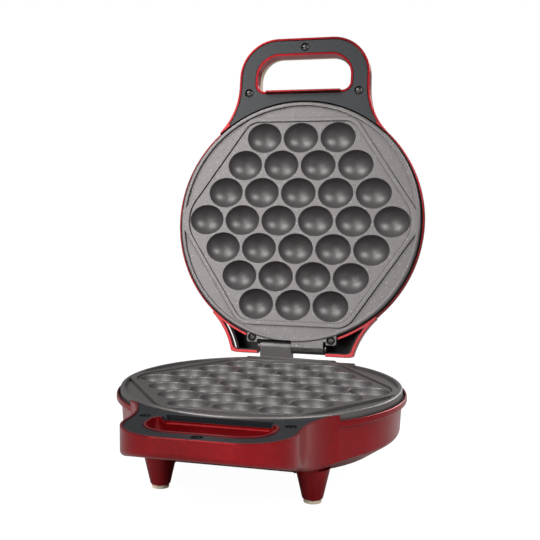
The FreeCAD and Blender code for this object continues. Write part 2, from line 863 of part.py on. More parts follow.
def top_cover():
    """The lid's outer cover, with its half of the handle loop and skirt."""
    top = -split_depth
    floor = -cover_depth
    dome = turned([(wall_radius - insert_gap, top)] + wall_points(insert_gap, floor), round_sides)
    loop = handle_block(floor).cut(slab(top, far))
    skirt = rolled_skirt(lid_skirt_reach, top, -lid_skirt_depth)
    body = fused([dome, loop, skirt])
    room = turned(room_points(insert_gap, cover_wall, top + overrun, floor), inner_sides)
    skirt_room = prism(skirt_outline(lid_skirt_reach, skirt_wall),
                       -lid_skirt_depth + skirt_wall, top + overrun)
    skirt_room = skirt_room.cut(drum(wall_radius, -far, far))
    window = block(-hinge_window, hinge_window, hinge_back, far, -hinge_window_depth, top + overrun)
    loop_room = loop_hollow(cover_wall, floor)
    body = body.cut([room, skirt_room, window, prism(grip_outline(0), -far, far), loop_room])
    over = [under_slope(cover_wall / 2), slab(top, far)]
    posts = [p.cut(over) for p in handle_bosses(floor, insert_bottom)]
    posts += [post(boss_radius, -lid_skirt_depth + skirt_wall / 2, top, x, y) for x, y in tab_places()]
    sleeve = lens_radius + lamp_fit + lamp_sleeve_wall
    posts += [post(sleeve, floor + cover_wall / 2, -lamp_sleeve_depth, s * lamp_x, -lamp_y) for s in (-1, 1)]
    body = fused([body] + posts)
    holes = screw_holes(overrun, handle_hole_end, handle_places())
    holes += screw_holes(overrun, top - 2 * screw_grip, tab_places())
    holes += [post(lens_radius + lamp_fit, -far, -lamp_sleeve_depth + overrun, s * lamp_x, -lamp_y)
              for s in (-1, 1)]
    return body.cut(holes)


def signal_lens(side):
    """A small lens with a bevelled flange outside the cover."""
    x = side * lamp_x
    outside = -cover_depth - lens_gap
    stem = post(lens_radius, outside, outside + lens_length, x, -lamp_y)
    edge = [(lens_flange_radius - lens_flange, outside - lens_flange), (lens_flange_radius, outside)]
    flange = turned(edge, small_sides, x, -lamp_y)
    return fused([stem, flange])


def signal_lamp(side):
    """The lamp behind its lens, inside the cover's sleeve."""
    low = -cover_depth - lens_gap + lens_length
    return post(lamp_radius, low, low + lamp_length, side * lamp_x, -lamp_y)


# Heating and control


def bar_along(points, half_size, sides, level):
    """A many-sided bar along a flat path, mitred at each turn."""
    radius = half_size / math.cos(math.pi / sides)
    rings = []
    for i, point in enumerate(points):
        here = vec(*point)
        ways = []
        if i > 0:
            ways.append((here - vec(*points[i - 1])).normalize())
        if i < len(points) - 1:
            ways.append((vec(*points[i + 1]) - here).normalize())
        across = sum((z_axis.cross(w) for w in ways), vec(0, 0)).normalize()
        lean = across.dot(z_axis.cross(ways[0]))
        ring = []
        for k in range(sides):
            turn = 2 * math.pi * (k + 0.5) / sides
            side = across * (radius * math.cos(turn) / lean)
            ring.append(here + side + vec(0, 0, level + radius * math.sin(turn)))
        rings.append(ring)
    return banded_solid(rings)


def heater_path():
    """An open loop whose two tails run to the back."""
    first = 90 + heater_gap_angle / 2
    step = (full_turn - heater_gap_angle) / heater_loop_bars
    loop = [polar((0, 0), heater_loop_radius, first + step * i) for i in range(heater_loop_bars + 1)]
    return [(loop[0][0], heater_tail)] + loop + [(loop[-1][0], heater_tail)]


def heater():
    return bar_along(heater_path(), heater_half, heater_sides, plate_back - heater_half)


def heater_clips():
    """Bridges that hold the heater against the plate's back."""
    step = (full_turn - heater_gap_angle) / heater_loop_bars
    radius = heater_loop_radius * math.cos(math.radians(step / 2))
    inner = heater_half + clip_gap
    clips = []
    for share in clip_shares:
        bar = round(share * heater_loop_bars)
        angle = 90 + heater_gap_angle / 2 + step * (bar + 0.5)
        low = plate_back - 2 * heater_half - clip_gap - clip_thickness
        bridge = block(radius - inner - clip_thickness, radius + inner + clip_thickness,
                       -clip_width / 2, clip_width / 2, low, plate_back)
        gap = block(radius - inner, radius + inner, -clip_width, clip_width, low + clip_thickness, overrun)
        feet = [block(a, a + clip_foot, -clip_width / 2, clip_width / 2,
                      plate_back - clip_thickness, plate_back)
                for a in (radius - inner - clip_thickness - clip_foot, radius + inner + clip_thickness)]
        clip = fused([bridge.cut(gap)] + feet)
        clip.rotate(vec(0, 0), z_axis, angle)
        clips.append(clip)
    return Part.Compound(clips)


def reflector():
    """A flat steel sheet behind the heater."""
    low = plate_back - post_height
    sheet = hexagon_outline(reflector_inset, reflector_corner, reflector_corner)
    return prism(sheet, low - reflector_thickness, low)


def reflector_posts():
    """Spacers between the plate and its reflector."""
    angles = [post_first_angle + full_turn * i / post_count for i in range(post_count)]
    places = [polar((0, 0), post_circle, angle) for angle in angles]
    return Part.Compound([post(post_radius, plate_back - post_height, plate_back, x, y) for x, y in places])


def thermostat():
    """A round bimetal switch on the plate's back."""
    body = drum(thermostat_radius - thermostat_collar, plate_back - thermostat_height, plate_back, leg_sides)
    return fused([body, drum(thermostat_radius, plate_back - thermostat_collar, plate_back, leg_sides)])


def thermal_fuse():
    """A fuse lying against the plate under a strap."""
    level = plate_back - fuse_radius
    ends = [(fuse_x - fuse_length / 2, 0), (fuse_x + fuse_length / 2, 0)]
    body = bar_along(ends, fuse_radius, heater_sides, level)
    half = fuse_radius + fuse_strap
    strap = block(fuse_x - half, fuse_x + half, -2 * half, 2 * half, plate_back - fuse_strap, plate_back)
    arch = block(fuse_x - half, fuse_x + half, -half, half, level - half, plate_back)
    return fused([body, strap, arch])


def terminal_block():
    """A three-pole block on the base's floor, with its screw wells."""
    length, width, height = block_length, block_width, block_height
    floor = -base_depth + base_floor
    body = block(-length / 2, length / 2, block_y, block_y + width, floor, floor + height)
    wells = []
    for i in range(block_poles):
        x = (i - (block_poles - 1) / 2) * length / block_poles
        wells.append(post(block_screw_radius, floor + height / 2, floor + height + overrun,
                          x, block_y + width / 2))
    return body.cut(wells)


def cord_clamp():
    """A bar across two bosses that grips the cord inside the base."""
    length, width, height = clamp_length, clamp_width, clamp_height
    low = -base_depth + base_floor + clamp_boss_height
    bar = block(-length / 2, length / 2, clamp_y - width / 2, clamp_y + width / 2, low, low + height)
    radius = screw_shank_radius + screw_hole_gap
    return bar.cut([post(radius, -far, far, s * clamp_screw_x, clamp_y) for s in (-1, 1)])


def clamp_screws():
    top = -base_depth + base_floor + clamp_boss_height + clamp_height + screw_head
    length = screw_head + clamp_height + clamp_boss_height - screw_hole_gap
    return Part.Compound([screw(s * clamp_screw_x, clamp_y, top, length) for s in (-1, 1)])


def gland_bar(radius, front, back):
    """A many-sided bar along y at the gland's height."""
    bar = turned([(radius, front), (radius, back)], small_sides)
    bar.rotate(vec(0, 0), x_axis, -90)
    bar.translate(vec(0, 0, -gland_depth))
    return bar


def cord_gland():
    """The bush in the base's rear wall that the cord comes through."""
    wall_in = skirt_reach - skirt_wall
    bush = fused([
        gland_bar(gland_flange_radius, wall_in - gland_flange, wall_in),
        gland_bar(gland_neck_radius, wall_in, skirt_reach),
        gland_bar(gland_flange_radius, skirt_reach, skirt_reach + gland_flange),
    ])
    return bush.cut(gland_bar(gland_bore_radius, hinge_back, far))


# Where the pieces go


def lid_reach():
    """How far back the open lid's crown comes, from the plates' centre."""
    turn = math.radians(open_angle)
    dy = -(wall_radius - wall_taper - floor_inset) - hinge_back
    dz = cover_depth + closed_gap - hinge_rise
    return hinge_back + dy * math.cos(turn) + dz * math.sin(turn)


footprint_middle = (lid_reach() - handle_reach) / 2


def in_base(shape):
    """A piece of the base, set on the table with the footprint's middle at the origin."""
    shape.translate(vec(0, -footprint_middle, parting_height))
    return shape


def in_lid(shape):
    """A piece of the lid, turned over, swung open and set down with the base."""
    over = shape.mirror(vec(0, 0, closed_gap / 2), z_axis)
    over.rotate(vec(0, hinge_back, hinge_rise), x_axis, -open_angle)
    return in_base(over)


pieces = {
    "lower_shell": in_base(lower_shell()),
    "lower_handle_insert": in_base(handle_insert(True)),
    "lower_handle_screws": in_base(handle_screw_set()),
    "lower_plate": in_base(lower_plate()),
    "lower_plate_screws": in_base(tab_screw_set()),
    "lower_heater": in_base(heater()),
    "lower_heater_clips": in_base(heater_clips()),
    "lower_reflector": in_base(reflector()),
    "lower_reflector_posts": in_base(reflector_posts()),
    "thermostat": in_base(thermostat()),
    "lower_thermal_fuse": in_base(thermal_fuse()),
    "terminal_block": in_base(terminal_block()),
    "cord_clamp": in_base(cord_clamp()),
    "cord_clamp_screws": in_base(clamp_screws()),
    "cord_gland": in_base(cord_gland()),
    "foot_pad_front_left": in_base(foot_pad(-1, -1)),
    "foot_pad_front_right": in_base(foot_pad(1, -1)),
    "foot_pad_rear_left": in_base(foot_pad(-1, 1)),
    "foot_pad_rear_right": in_base(foot_pad(1, 1)),
    "hinge_pin": in_base(hinge_pin()),
    "upper_shell": in_lid(upper_shell()),
    "top_cover": in_lid(top_cover()),
    "upper_handle_insert": in_lid(handle_insert(False)),
    "upper_handle_screws": in_lid(handle_screw_set()),
    "upper_plate": in_lid(upper_plate()),
    "upper_plate_screws": in_lid(tab_screw_set()),
    "upper_heater": in_lid(heater()),
    "upper_heater_clips": in_lid(heater_clips()),
    "upper_reflector": in_lid(reflector()),
    "upper_reflector_posts": in_lid(reflector_posts()),
    "upper_thermal_fuse": in_lid(thermal_fuse()),
    "power_lens": in_lid(signal_lens(-1)),
    "ready_lens": in_lid(signal_lens(1)),
    "power_lamp": in_lid(signal_lamp(-1)),
    "ready_lamp": in_lid(signal_lamp(1)),
}

os.makedirs("parts", exist_ok=True)
for name, shape in pieces.items():
    shape.exportStep(f"parts/{name}.step")
    box = shape.BoundBox
    print(f"{name:24s} solids {len(shape.Solids)} valid {shape.isValid()} "
          f"volume {shape.Volume / 1000:8.2f} cm3 x {box.XMin:7.1f} {box.XMax:7.1f} "
          f"y {box.YMin:7.1f} {box.YMax:7.1f} z {box.ZMin:7.1f} {box.ZMax:7.1f}")
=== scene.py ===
import bpy
import json
import math
from mathutils import Matrix, Vector


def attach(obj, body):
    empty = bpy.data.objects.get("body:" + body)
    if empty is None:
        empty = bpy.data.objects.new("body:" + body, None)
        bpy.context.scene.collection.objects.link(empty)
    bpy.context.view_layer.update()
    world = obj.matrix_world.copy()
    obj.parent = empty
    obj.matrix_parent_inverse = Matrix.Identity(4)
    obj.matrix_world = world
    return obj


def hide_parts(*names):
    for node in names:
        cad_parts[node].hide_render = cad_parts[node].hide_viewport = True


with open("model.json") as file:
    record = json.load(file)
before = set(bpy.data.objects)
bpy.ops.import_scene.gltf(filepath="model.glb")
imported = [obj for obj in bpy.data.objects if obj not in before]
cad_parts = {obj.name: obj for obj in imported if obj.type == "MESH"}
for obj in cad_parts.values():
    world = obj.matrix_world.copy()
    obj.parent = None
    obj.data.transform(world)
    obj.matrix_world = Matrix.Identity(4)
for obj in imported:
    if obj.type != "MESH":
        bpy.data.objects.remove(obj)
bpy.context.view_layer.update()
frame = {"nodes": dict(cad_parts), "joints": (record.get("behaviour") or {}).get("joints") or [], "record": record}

mm = 0.001
sameSpot = 0.005 * mm

# Cutters end clear of every piece, at these levels and at this place behind the hinge
past = {"edge": 1, "above": 5, "high": 10, "top": 20, "below": -50, "deep": -60, "floor": -70,
        "behind": 130, "round": 140}

# Faces that would coincide are kept this far apart, because booleans fail on them
apart = {"gutter": 0.05, "gutterFloor": 0.1, "room": 0.05, "tabBay": 0.04, "knuckleBay": 0.06,
         "skirtTop": 0.08, "plateBack": 0.02, "groove": 0.02, "lipTab": 0.04}

# Flats round a full turn
fine = 160
smooth = 128

# Every piece is shaped shut and level, in millimetres from the middle of the lower plate's rim:
# x to the right, y to the hinge, z up. The lid's pieces are turned over and swung open at the end.
joint = frame["joints"][0]
hinge = {"back": 103.4, "rise": 8.0, "gap": 0.4, "open": joint["range_deg"][1]}
axle = Vector((0, hinge["back"], hinge["rise"])) * mm
toBase = Matrix.Translation(Vector(joint["pos_m"]) - axle)
turnedOver = Matrix.Translation((0, 0, hinge["gap"] * mm)) @ Matrix.Scale(-1, 4, (0, 0, 1))
swungOpen = Matrix.Rotation(-math.radians(hinge["open"]), 4, 'X')
toLid = toBase @ Matrix.Translation(axle) @ swungOpen @ Matrix.Translation(-axle) @ turnedOver


# Hands

def pick(*objects):
    bpy.ops.object.select_all(action='DESELECT')
    for obj in objects:
        obj.select_set(True)
    bpy.context.view_layer.objects.active = objects[0]


def settle(obj, name):
    obj.name = name
    pick(obj)
    bpy.ops.object.transform_apply(location=True, rotation=True, scale=True)
    return obj


def addBox(name, low, high):
    centre = [(a + b) / 2 * mm for a, b in zip(low, high)]
    bpy.ops.mesh.primitive_cube_add(size=1, location=centre)
    box = bpy.context.object
    box.scale = [(b - a) * mm for a, b in zip(low, high)]
    return settle(box, name)


def addDrum(name, radius, low, high, x=0, y=0, sides=96):
    place = (x * mm, y * mm, (low + high) / 2 * mm)
    bpy.ops.mesh.primitive_cylinder_add(vertices=sides, radius=radius * mm, depth=(high - low) * mm,
                                        location=place)
    return settle(bpy.context.object, name)


def addBar(name, radius, start, end, along, sides=48):
    # A round bar between two points, along x or y
    start, end = Vector(start), Vector(end)
    turn = (0, math.pi / 2, 0) if along == 'X' else (math.pi / 2, 0, 0)
    bpy.ops.mesh.primitive_cylinder_add(vertices=sides, radius=radius * mm,
                                        depth=(end - start).length * mm,
                                        location=(start + end) / 2 * mm, rotation=turn)
    return settle(bpy.context.object, name)


def softCorners(points, steps=4):
    # Points are (x, z, corner radius); each rounded corner becomes a short arc
    outline = []
    for i, (x, z, radius) in enumerate(points):
        if not radius:
            outline.append((x, z))
            continue
        here = Vector((x, z))
        before = (Vector(points[i - 1][:2]) - here).normalized()
        after = (Vector(points[(i + 1) % len(points)][:2]) - here).normalized()
        half = before.angle(after) / 2
        centre = here + (before + after).normalized() * (radius / math.sin(half))
        first = here + before * (radius / math.tan(half)) - centre
        last = here + after * (radius / math.tan(half)) - centre
        start = math.atan2(first.y, first.x)
        sweep = (math.atan2(last.y, last.x) - start + math.pi) % math.tau - math.pi
        for k in range(steps + 1):
            turn = start + sweep * k / steps
            outline.append((centre.x + radius * math.cos(turn), centre.y + radius * math.sin(turn)))
    return outline


def spinProfile(name, profile, x=0, y=0, steps=fine):
    # One point is extruded along the profile, then the line is spun round a vertical axis
    bpy.ops.mesh.primitive_plane_add(size=mm)
    obj = bpy.context.object
    obj.name = name
    pick(obj)
    bpy.ops.object.mode_set(mode='EDIT')
    bpy.ops.mesh.select_mode(type='VERT')
    bpy.ops.mesh.select_all(action='SELECT')
    bpy.ops.mesh.merge(type='CENTER')
    last = Vector((0, 0, 0))
    for i, (radius, level) in enumerate(profile):
        here = Vector((radius * mm, 0, level * mm))
        if i == 0:
            bpy.ops.transform.translate(value=here - last)
        else:
            bpy.ops.mesh.extrude_vertices_move(TRANSFORM_OT_translate={"value": here - last})
        last = here
    bpy.ops.mesh.select_all(action='SELECT')
    bpy.ops.mesh.spin(steps=steps, angle=math.tau, center=(0, 0, 0), axis=(0, 0, 1))
    bpy.ops.mesh.select_all(action='SELECT')
    bpy.ops.mesh.remove_doubles(threshold=sameSpot)
    bpy.ops.mesh.normals_make_consistent(inside=False)
    bpy.ops.object.mode_set(mode='OBJECT')
    obj.location = (x * mm, y * mm, 0)
    return settle(obj, name)


def copyOf(obj, name, move=(0, 0, 0)):
    twin = obj.copy()
    twin.data = obj.data.copy()
    twin.name = name
    bpy.context.collection.objects.link(twin)
    twin.data.transform(Matrix.Translation(Vector(move) * mm))
    return twin


def joined(objects, name):
    pick(*objects)
    bpy.ops.object.join()
    objects[0].name = name
    return objects[0]


def combine(target, tool, how):
    pick(target)
    bpy.ops.object.modifier_add(type='BOOLEAN')
    step = target.modifiers[-1]
    step.operation = how
    step.solver = 'EXACT'
    step.object = tool
    bpy.ops.object.modifier_apply(modifier=step.name)
    bpy.data.objects.remove(tool, do_unlink=True)
    return target


def cut(target, tool):
    return combine(target, tool, 'DIFFERENCE')


def weld(target, tool):
    return combine(target, tool, 'UNION')


def bevelWhere(obj, wanted, width, segments=3):
    # Bevels the edges whose two ends, in millimetres, pass the test
    pick(obj)
    bpy.ops.object.mode_set(mode='EDIT')
    bpy.ops.mesh.select_mode(type='EDGE')
    bpy.ops.mesh.select_all(action='DESELECT')
    bpy.ops.object.mode_set(mode='OBJECT')
    spots = [v.co / mm for v in obj.data.vertices]
    for edge in obj.data.edges:
        edge.select = wanted(spots[edge.vertices[0]], spots[edge.vertices[1]])
    bpy.ops.object.mode_set(mode='EDIT')
    bpy.ops.mesh.bevel(offset=width * mm, segments=segments, affect='EDGES')
    bpy.ops.object.mode_set(mode='OBJECT')
    return obj


def sliceOff(obj, point, normal):
    # Takes away what lies behind a plane and closes the cut
    pick(obj)
    bpy.ops.object.mode_set(mode='EDIT')
    bpy.ops.mesh.select_all(action='SELECT')
    bpy.ops.mesh.bisect(plane_co=Vector(point) * mm, plane_no=normal, use_fill=True, clear_inner=True)
    bpy.ops.object.mode_set(mode='OBJECT')
    return obj


# Two places this close, in millimetres, count as one
near = 0.01


def upright(a, b):
    return abs(a.x - b.x) + abs(a.y - b.y) < near


def levelAt(z):
    return lambda a, b: abs(a.z - z) < near and abs(b.z - z) < near


# Materials

def linear(hexCode):
    # An sRGB hex colour as linear light
    parts = [int(hexCode[i:i + 2], 16) / 255 for i in (1, 3, 5)]
    return tuple(c / 12.92 if c <= 0.04045 else ((c + 0.055) / 1.055) ** 2.4 for c in parts) + (1.0,)


def newMaterial(name):
    material = bpy.data.materials.new(name)
    material.use_nodes = True
    tree = material.node_tree
    return material, tree, tree.nodes["Principled BSDF"]


def addNode(tree, kind, settings=None, links=None):
    node = tree.nodes.new(kind)
    for key, value in (settings or {}).items():
        if isinstance(key, int) or key in node.inputs:
            node.inputs[key].default_value = value
        else:
            setattr(node, key, value)
    for key, source in (links or {}).items():
        tree.links.new(source, node.inputs[key])
    return node


def setShader(shader, values):
    for key, value in values.items():
        shader.inputs[key].default_value = value


# Red enamel over moulded plastic: deep candy red with fine metal flake under clear lacquer.
# Real flake is under 0.1 mm; it is drawn at 0.7 mm so that it shows as a faint liveliness.
enamel = {"deep": "#6e050b", "bright": "#ac0c18", "flake": 0.7, "patch": 60.0, "flakeShare": 0.35,
          "deepUpTo": 0.35, "metal": 0.75, "roughness": 0.3, "lacquer": 0.3, "lacquerRoughness": 0.08}
candyRed, tree, shader = newMaterial("candyRedLacquer")
coords = addNode(tree, "ShaderNodeTexCoord").outputs["Object"]
flakes = addNode(tree, "ShaderNodeTexVoronoi", {"Scale": 1 / (enamel["flake"] * mm)},
                 {"Vector": coords})
patches = addNode(tree, "ShaderNodeTexNoise", {"Scale": 1 / (enamel["patch"] * mm), "Detail": 2.0},
                  {"Vector": coords})
blend = addNode(tree, "ShaderNodeMath", {"operation": 'MULTIPLY_ADD', 1: enamel["flakeShare"]},
                {0: flakes.outputs["Color"], 2: patches.outputs["Fac"]})
ramp = addNode(tree, "ShaderNodeValToRGB", None, {"Fac": blend.outputs[0]})
ramp.color_ramp.elements[0].position = enamel["deepUpTo"]
ramp.color_ramp.elements[0].color = linear(enamel["deep"])
ramp.color_ramp.elements[1].position = 1.0
ramp.color_ramp.elements[1].color = linear(enamel["bright"])
tree.links.new(ramp.outputs["Color"], shader.inputs["Base Color"])
setShader(shader, {"Metallic": enamel["metal"], "Roughness": enamel["roughness"],
                   "Coat Weight": enamel["lacquer"], "Coat Roughness": enamel["lacquerRoughness"]})

# Depth of the finest relief: the coating's orange peel, moulded grain and the skin of clear parts
grainHeight = 0.2 * mm

# Non-stick coating sprayed on sand-cast aluminium: mid grey with faint lighter and darker specks
# under 1 mm across, and a slight orange-peel skin that softens its shine. In the pits it is drawn
# a little darker, as painted shade of the recesses, and duller than on the flats.
coating = {"speck": 0.7, "peel": 0.9, "peelBump": 0.12, "darkUpTo": 0.12, "lightFrom": 0.9, "metal": 0.7,
           "flats": {"grey": "#747070", "light": "#9a9694", "dark": "#5c5958", "roughness": 0.4},
           "pits": {"grey": "#6e6b6b", "light": "#7c7979", "dark": "#605e5e", "roughness": 0.46}}


def nonStick(name, shades):
    material, tree, shader = newMaterial(name)
    coords = addNode(tree, "ShaderNodeTexCoord").outputs["Object"]
    specks = addNode(tree, "ShaderNodeTexVoronoi", {"Scale": 1 / (coating["speck"] * mm)},
                     {"Vector": coords})
    pale = addNode(tree, "ShaderNodeValToRGB", None, {"Fac": specks.outputs["Color"]})
    pale.color_ramp.interpolation = 'CONSTANT'
    pale.color_ramp.elements[0].color = linear(shades["dark"])
    pale.color_ramp.elements[1].position = coating["lightFrom"]
    pale.color_ramp.elements[1].color = linear(shades["light"])
    middle = pale.color_ramp.elements.new(coating["darkUpTo"])
    middle.color = linear(shades["grey"])
    tree.links.new(pale.outputs["Color"], shader.inputs["Base Color"])
    peel = addNode(tree, "ShaderNodeTexNoise", {"Scale": 1 / (coating["peel"] * mm), "Detail": 3.0},
                   {"Vector": coords})
    peelBump = addNode(tree, "ShaderNodeBump", {"Strength": coating["peelBump"], "Distance": grainHeight},
                       {"Height": peel.outputs["Fac"]})
    tree.links.new(peelBump.outputs["Normal"], shader.inputs["Normal"])
    setShader(shader, {"Metallic": coating["metal"], "Roughness": shades["roughness"]})
    return material


speckled = nonStick("speckledCoating", coating["flats"])
# The pits' copy of the coating is darker: painted shade in the recesses
shadedPitCoating = nonStick("shadedPitCoating", coating["pits"])


plastic = {"cloud": 25, "shadeUpTo": 0.3, "colourFrom": 0.7}


def mouldedPlastic(name, colour, shade, grain, roughness, bump):
    # Moulded plastic: one colour, a little cloudy, with the mould's fine spark-eroded grain
    material, tree, shader = newMaterial(name)
    coords = addNode(tree, "ShaderNodeTexCoord").outputs["Object"]
    cloud = addNode(tree, "ShaderNodeTexNoise", {"Scale": 1 / (plastic["cloud"] * mm), "Detail": 4.0},
                    {"Vector": coords})
    tint = addNode(tree, "ShaderNodeValToRGB", None, {"Fac": cloud.outputs["Fac"]})
    tint.color_ramp.elements[0].position = plastic["shadeUpTo"]
    tint.color_ramp.elements[0].color = linear(shade)
    tint.color_ramp.elements[1].position = plastic["colourFrom"]
    tint.color_ramp.elements[1].color = linear(colour)
    tree.links.new(tint.outputs["Color"], shader.inputs["Base Color"])
    texture = addNode(tree, "ShaderNodeTexNoise", {"Scale": 1 / (grain * mm), "Detail": 2.0},
                      {"Vector": coords})
    relief = addNode(tree, "ShaderNodeBump", {"Strength": bump, "Distance": grainHeight},
                     {"Height": texture.outputs["Fac"]})
    tree.links.new(relief.outputs["Normal"], shader.inputs["Normal"])
    shader.inputs["Roughness"].default_value = roughness
    return material


drawn = 8


def workedMetal(name, colour, shade, grain, roughness):
    # Bare or blackened steel with a faint grain, drawn out along x
    material, tree, shader = newMaterial(name)
    coords = addNode(tree, "ShaderNodeTexCoord").outputs["Object"]
    stretch = addNode(tree, "ShaderNodeMapping", {"Scale": (1, drawn, drawn)}, {"Vector": coords})
    lines = addNode(tree, "ShaderNodeTexNoise", {"Scale": 1 / (grain * mm), "Detail": 3.0},
                    {"Vector": stretch.outputs["Vector"]})
    tint = addNode(tree, "ShaderNodeValToRGB", None, {"Fac": lines.outputs["Fac"]})
    tint.color_ramp.elements[0].color = linear(shade)
    tint.color_ramp.elements[1].color = linear(colour)
    tree.links.new(tint.outputs["Color"], shader.inputs["Base Color"])
    setShader(shader, {"Metallic": 1.0, "Roughness": roughness})
    return material


clear = {"skin": 2, "bump": 0.05, "acrylicIndex": 1.49, "clearness": 0.7}


def tintedClear(name, colour, roughness):
    # Clear tinted plastic or glass, with a slight unevenness of its skin
    material, tree, shader = newMaterial(name)
    coords = addNode(tree, "ShaderNodeTexCoord").outputs["Object"]
    skin = addNode(tree, "ShaderNodeTexNoise", {"Scale": 1 / (clear["skin"] * mm)}, {"Vector": coords})
    relief = addNode(tree, "ShaderNodeBump", {"Strength": clear["bump"], "Distance": grainHeight},
                     {"Height": skin.outputs["Fac"]})
    tree.links.new(relief.outputs["Normal"], shader.inputs["Normal"])
    setShader(shader, {"Base Color": linear(colour), "Roughness": roughness,
                       "IOR": clear["acrylicIndex"], "Transmission Weight": clear["clearness"]})
    return material


insertGrey = mouldedPlastic("satinGreyPlastic", "#171b20", "#13171b", 0.5, 0.34, 0.06)
creamShell = mouldedPlastic("creamPlastic", "#d5c8b2", "#cdbfa8", 0.6, 0.42, 0.05)
# A black used as painted shade: it fills the gutter round each plate and the shaded hollow, floor and seam of the
# lid cover
paintedShadeBlack = mouldedPlastic("blackPaintedShade", "#191817", "#121110", 0.8, 0.5, 0.1)
padCream = mouldedPlastic("creamRubber", "#d8cab2", "#cbbca2", 0.8, 0.6, 0.15)
glandBlack = mouldedPlastic("blackRubber", "#161616", "#101010", 0.8, 0.62, 0.15)
ceramic = mouldedPlastic("whiteCeramic", "#dcd8cf", "#d0ccc2", 1.0, 0.3, 0.05)
nylon = mouldedPlastic("whiteNylon", "#deddd8", "#d2d0ca", 0.8, 0.45, 0.05)
screwBlack = workedMetal("darkZincSteel", "#5f5c5a", "#413f3d", 0.6, 0.36)
heaterSteel = workedMetal("mattStainless", "#8b8884", "#6d6a66", 1.2, 0.45)
sheetSteel = workedMetal("plainSteelSheet", "#b9b8b5", "#a19f9b", 1.6, 0.32)
pinSteel = workedMetal("groundSteel", "#a8a6a2", "#8c8a86", 0.6, 0.28)
redLens = tintedClear("clearRedPlastic", "#c4160d", 0.12)
greenLens = tintedClear("clearGreenPlastic", "#1f8f3c", 0.12)
lampGlass = tintedClear("neonLampGlass", "#e6d8c0", 0.05)
print("materials ready")


def finishPiece(obj, name, place, material, body, nodes, angle=32):
    # Sets a shut, level piece in place, smooths it, hangs it on its body's empty and hides the CAD nodes it
    # replaces
    obj.name = name
    obj.data.name = name
    obj.data.transform(place)
    pick(obj)
    bpy.ops.object.mode_set(mode='EDIT')
    bpy.ops.mesh.select_all(action='SELECT')
    bpy.ops.mesh.remove_doubles(threshold=sameSpot)
    if place.determinant() < 0:
        bpy.ops.mesh.flip_normals()
    bpy.ops.object.mode_set(mode='OBJECT')
    bpy.ops.object.shade_smooth_by_angle(angle=math.radians(angle))
    bpy.ops.object.modifier_add(type='WEIGHTED_NORMAL')
    obj.modifiers[-1].keep_sharp = True
    bpy.ops.object.modifier_apply(modifier=obj.modifiers[-1].name)
    if not obj.data.materials:
        obj.data.materials.append(material)
    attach(obj, body)
    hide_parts(*nodes)
    print("piece", name, len(obj.data.polygons), "faces")
    return obj


# Blanks that the loops, skirts and plates share

loop = {"reach": 154.9, "half": 55.1, "corner": 32.2, "back": 70.0, "earHalf": 70.0,
        "earStart": 114.0, "earRadius": 58.2, "slope": 17.7, "end": 13.4, "round": 3.2, "top": -0.8,
        "topRound": 0.5}


def loopBlank(name, inset, low, high):
    # The handle loop in plan, without its finger opening
    side = loop["half"] - inset
    front = -loop["reach"] + inset
    blank = addBox(name, (-loop["earHalf"], front, low), (loop["earHalf"], -loop["back"], high))
    centre = loop["half"] + loop["earRadius"]
    under, over = low - past["edge"], high + past["edge"]
    curves = [addDrum("earCurve", loop["earRadius"] + inset, under, over, s * centre,
                      -loop["earStart"], smooth) for s in (-1, 1)]
    cut(blank, joined(curves, "earCurves"))
    before, out = front - past["above"], loop["earHalf"] + past["above"]
    sides = [addBox("flank", (side, before, under), (out, -loop["earStart"], over)),
             addBox("flank", (-out, before, under), (-side, -loop["earStart"], over))]
    cut(blank, joined(sides, "flanks"))
    return bevelWhere(blank, lambda a, b: upright(a, b) and a.y < front + near, loop["corner"] - inset, 14)


grip = {"half": 39.4, "near": 109.4, "far": 139.9, "nearCorner": 7.0, "farCorner": 17.9, "wall": 1.7}


def gripBlank(name, grow, low, high):
    # The finger opening, with tighter corners beside the plate
    blank = addBox(name, (-grip["half"] - grow, -grip["far"] - grow, low),
                   (grip["half"] + grow, -grip["near"] + grow, high))
    front = -grip["far"] - grow
    back = -grip["near"] + grow
    bevelWhere(blank, lambda a, b: upright(a, b) and abs(a.y - front) < near, grip["farCorner"] + grow, 12)
    return bevelWhere(blank, lambda a, b: upright(a, b) and abs(a.y - back) < near,
                      grip["nearCorner"] + grow, 8)


skirt = {"start": 60.0, "half": 68.0, "centreX": 112.8, "centreY": 124.0, "curve": 64.0, "corner": 7.0,
         "wall": 2.4, "round": 3.2, "baseReach": 112.0, "lidReach": 110.0, "baseDepth": 37.0,
         "lidDepth": 33.0, "drop": 2.5}


def skirtBlank(name, reach, inset, low, high):
    # The housing behind the plate, concave at its sides
    back = reach - inset
    blank = addBox(name, (-skirt["half"], skirt["start"], low), (skirt["half"], back, high))
    curves = [addDrum("skirtCurve", skirt["curve"] + inset, low - past["edge"], high + past["edge"],
                      s * skirt["centreX"], skirt["centreY"], smooth) for s in (-1, 1)]
    cut(blank, joined(curves, "skirtCurves"))
    return bevelWhere(blank, lambda a, b: upright(a, b) and a.y > back - near, skirt["corner"] - inset, 8)


def clearOfPlate(blank):
    # Opens a loop or skirt to the gutter round the plate and to the casing's room
    cut(blank, addDrum("gutterRoom", rim["gutter"] + apart["gutter"], rim["seat"] - apart["gutterFloor"],
                       past["top"], sides=fine))
    return cut(blank, addDrum("casingRoom", rim["roomRadius"], past["below"], rim["seat"] - apart["room"],
                              sides=fine))


def taperedBlock(name, low, high, spread):
    # A block whose top is wider in x by the spread at each end
    block = addBox(name, low, high)
    wide = (high[0] - low[0]) / 2
    for v in block.data.vertices:
        if v.co.z > (low[2] + high[2]) / 2 * mm:
            v.co.x *= (wide + spread) / wide
    return block


def slopedBar(name, wide, front, back, thick):
    # A flat bar across the casing whose top and bottom lean from the front (y, z) to the back one
    bar = addBox(name, (-wide, front[0], front[1] - thick), (wide, back[0], front[1]))
    for v in bar.data.vertices:
        if v.co.y > (front[0] + back[0]) / 2 * mm:
            v.co.z += (back[1] - front[1]) * mm
    return bar


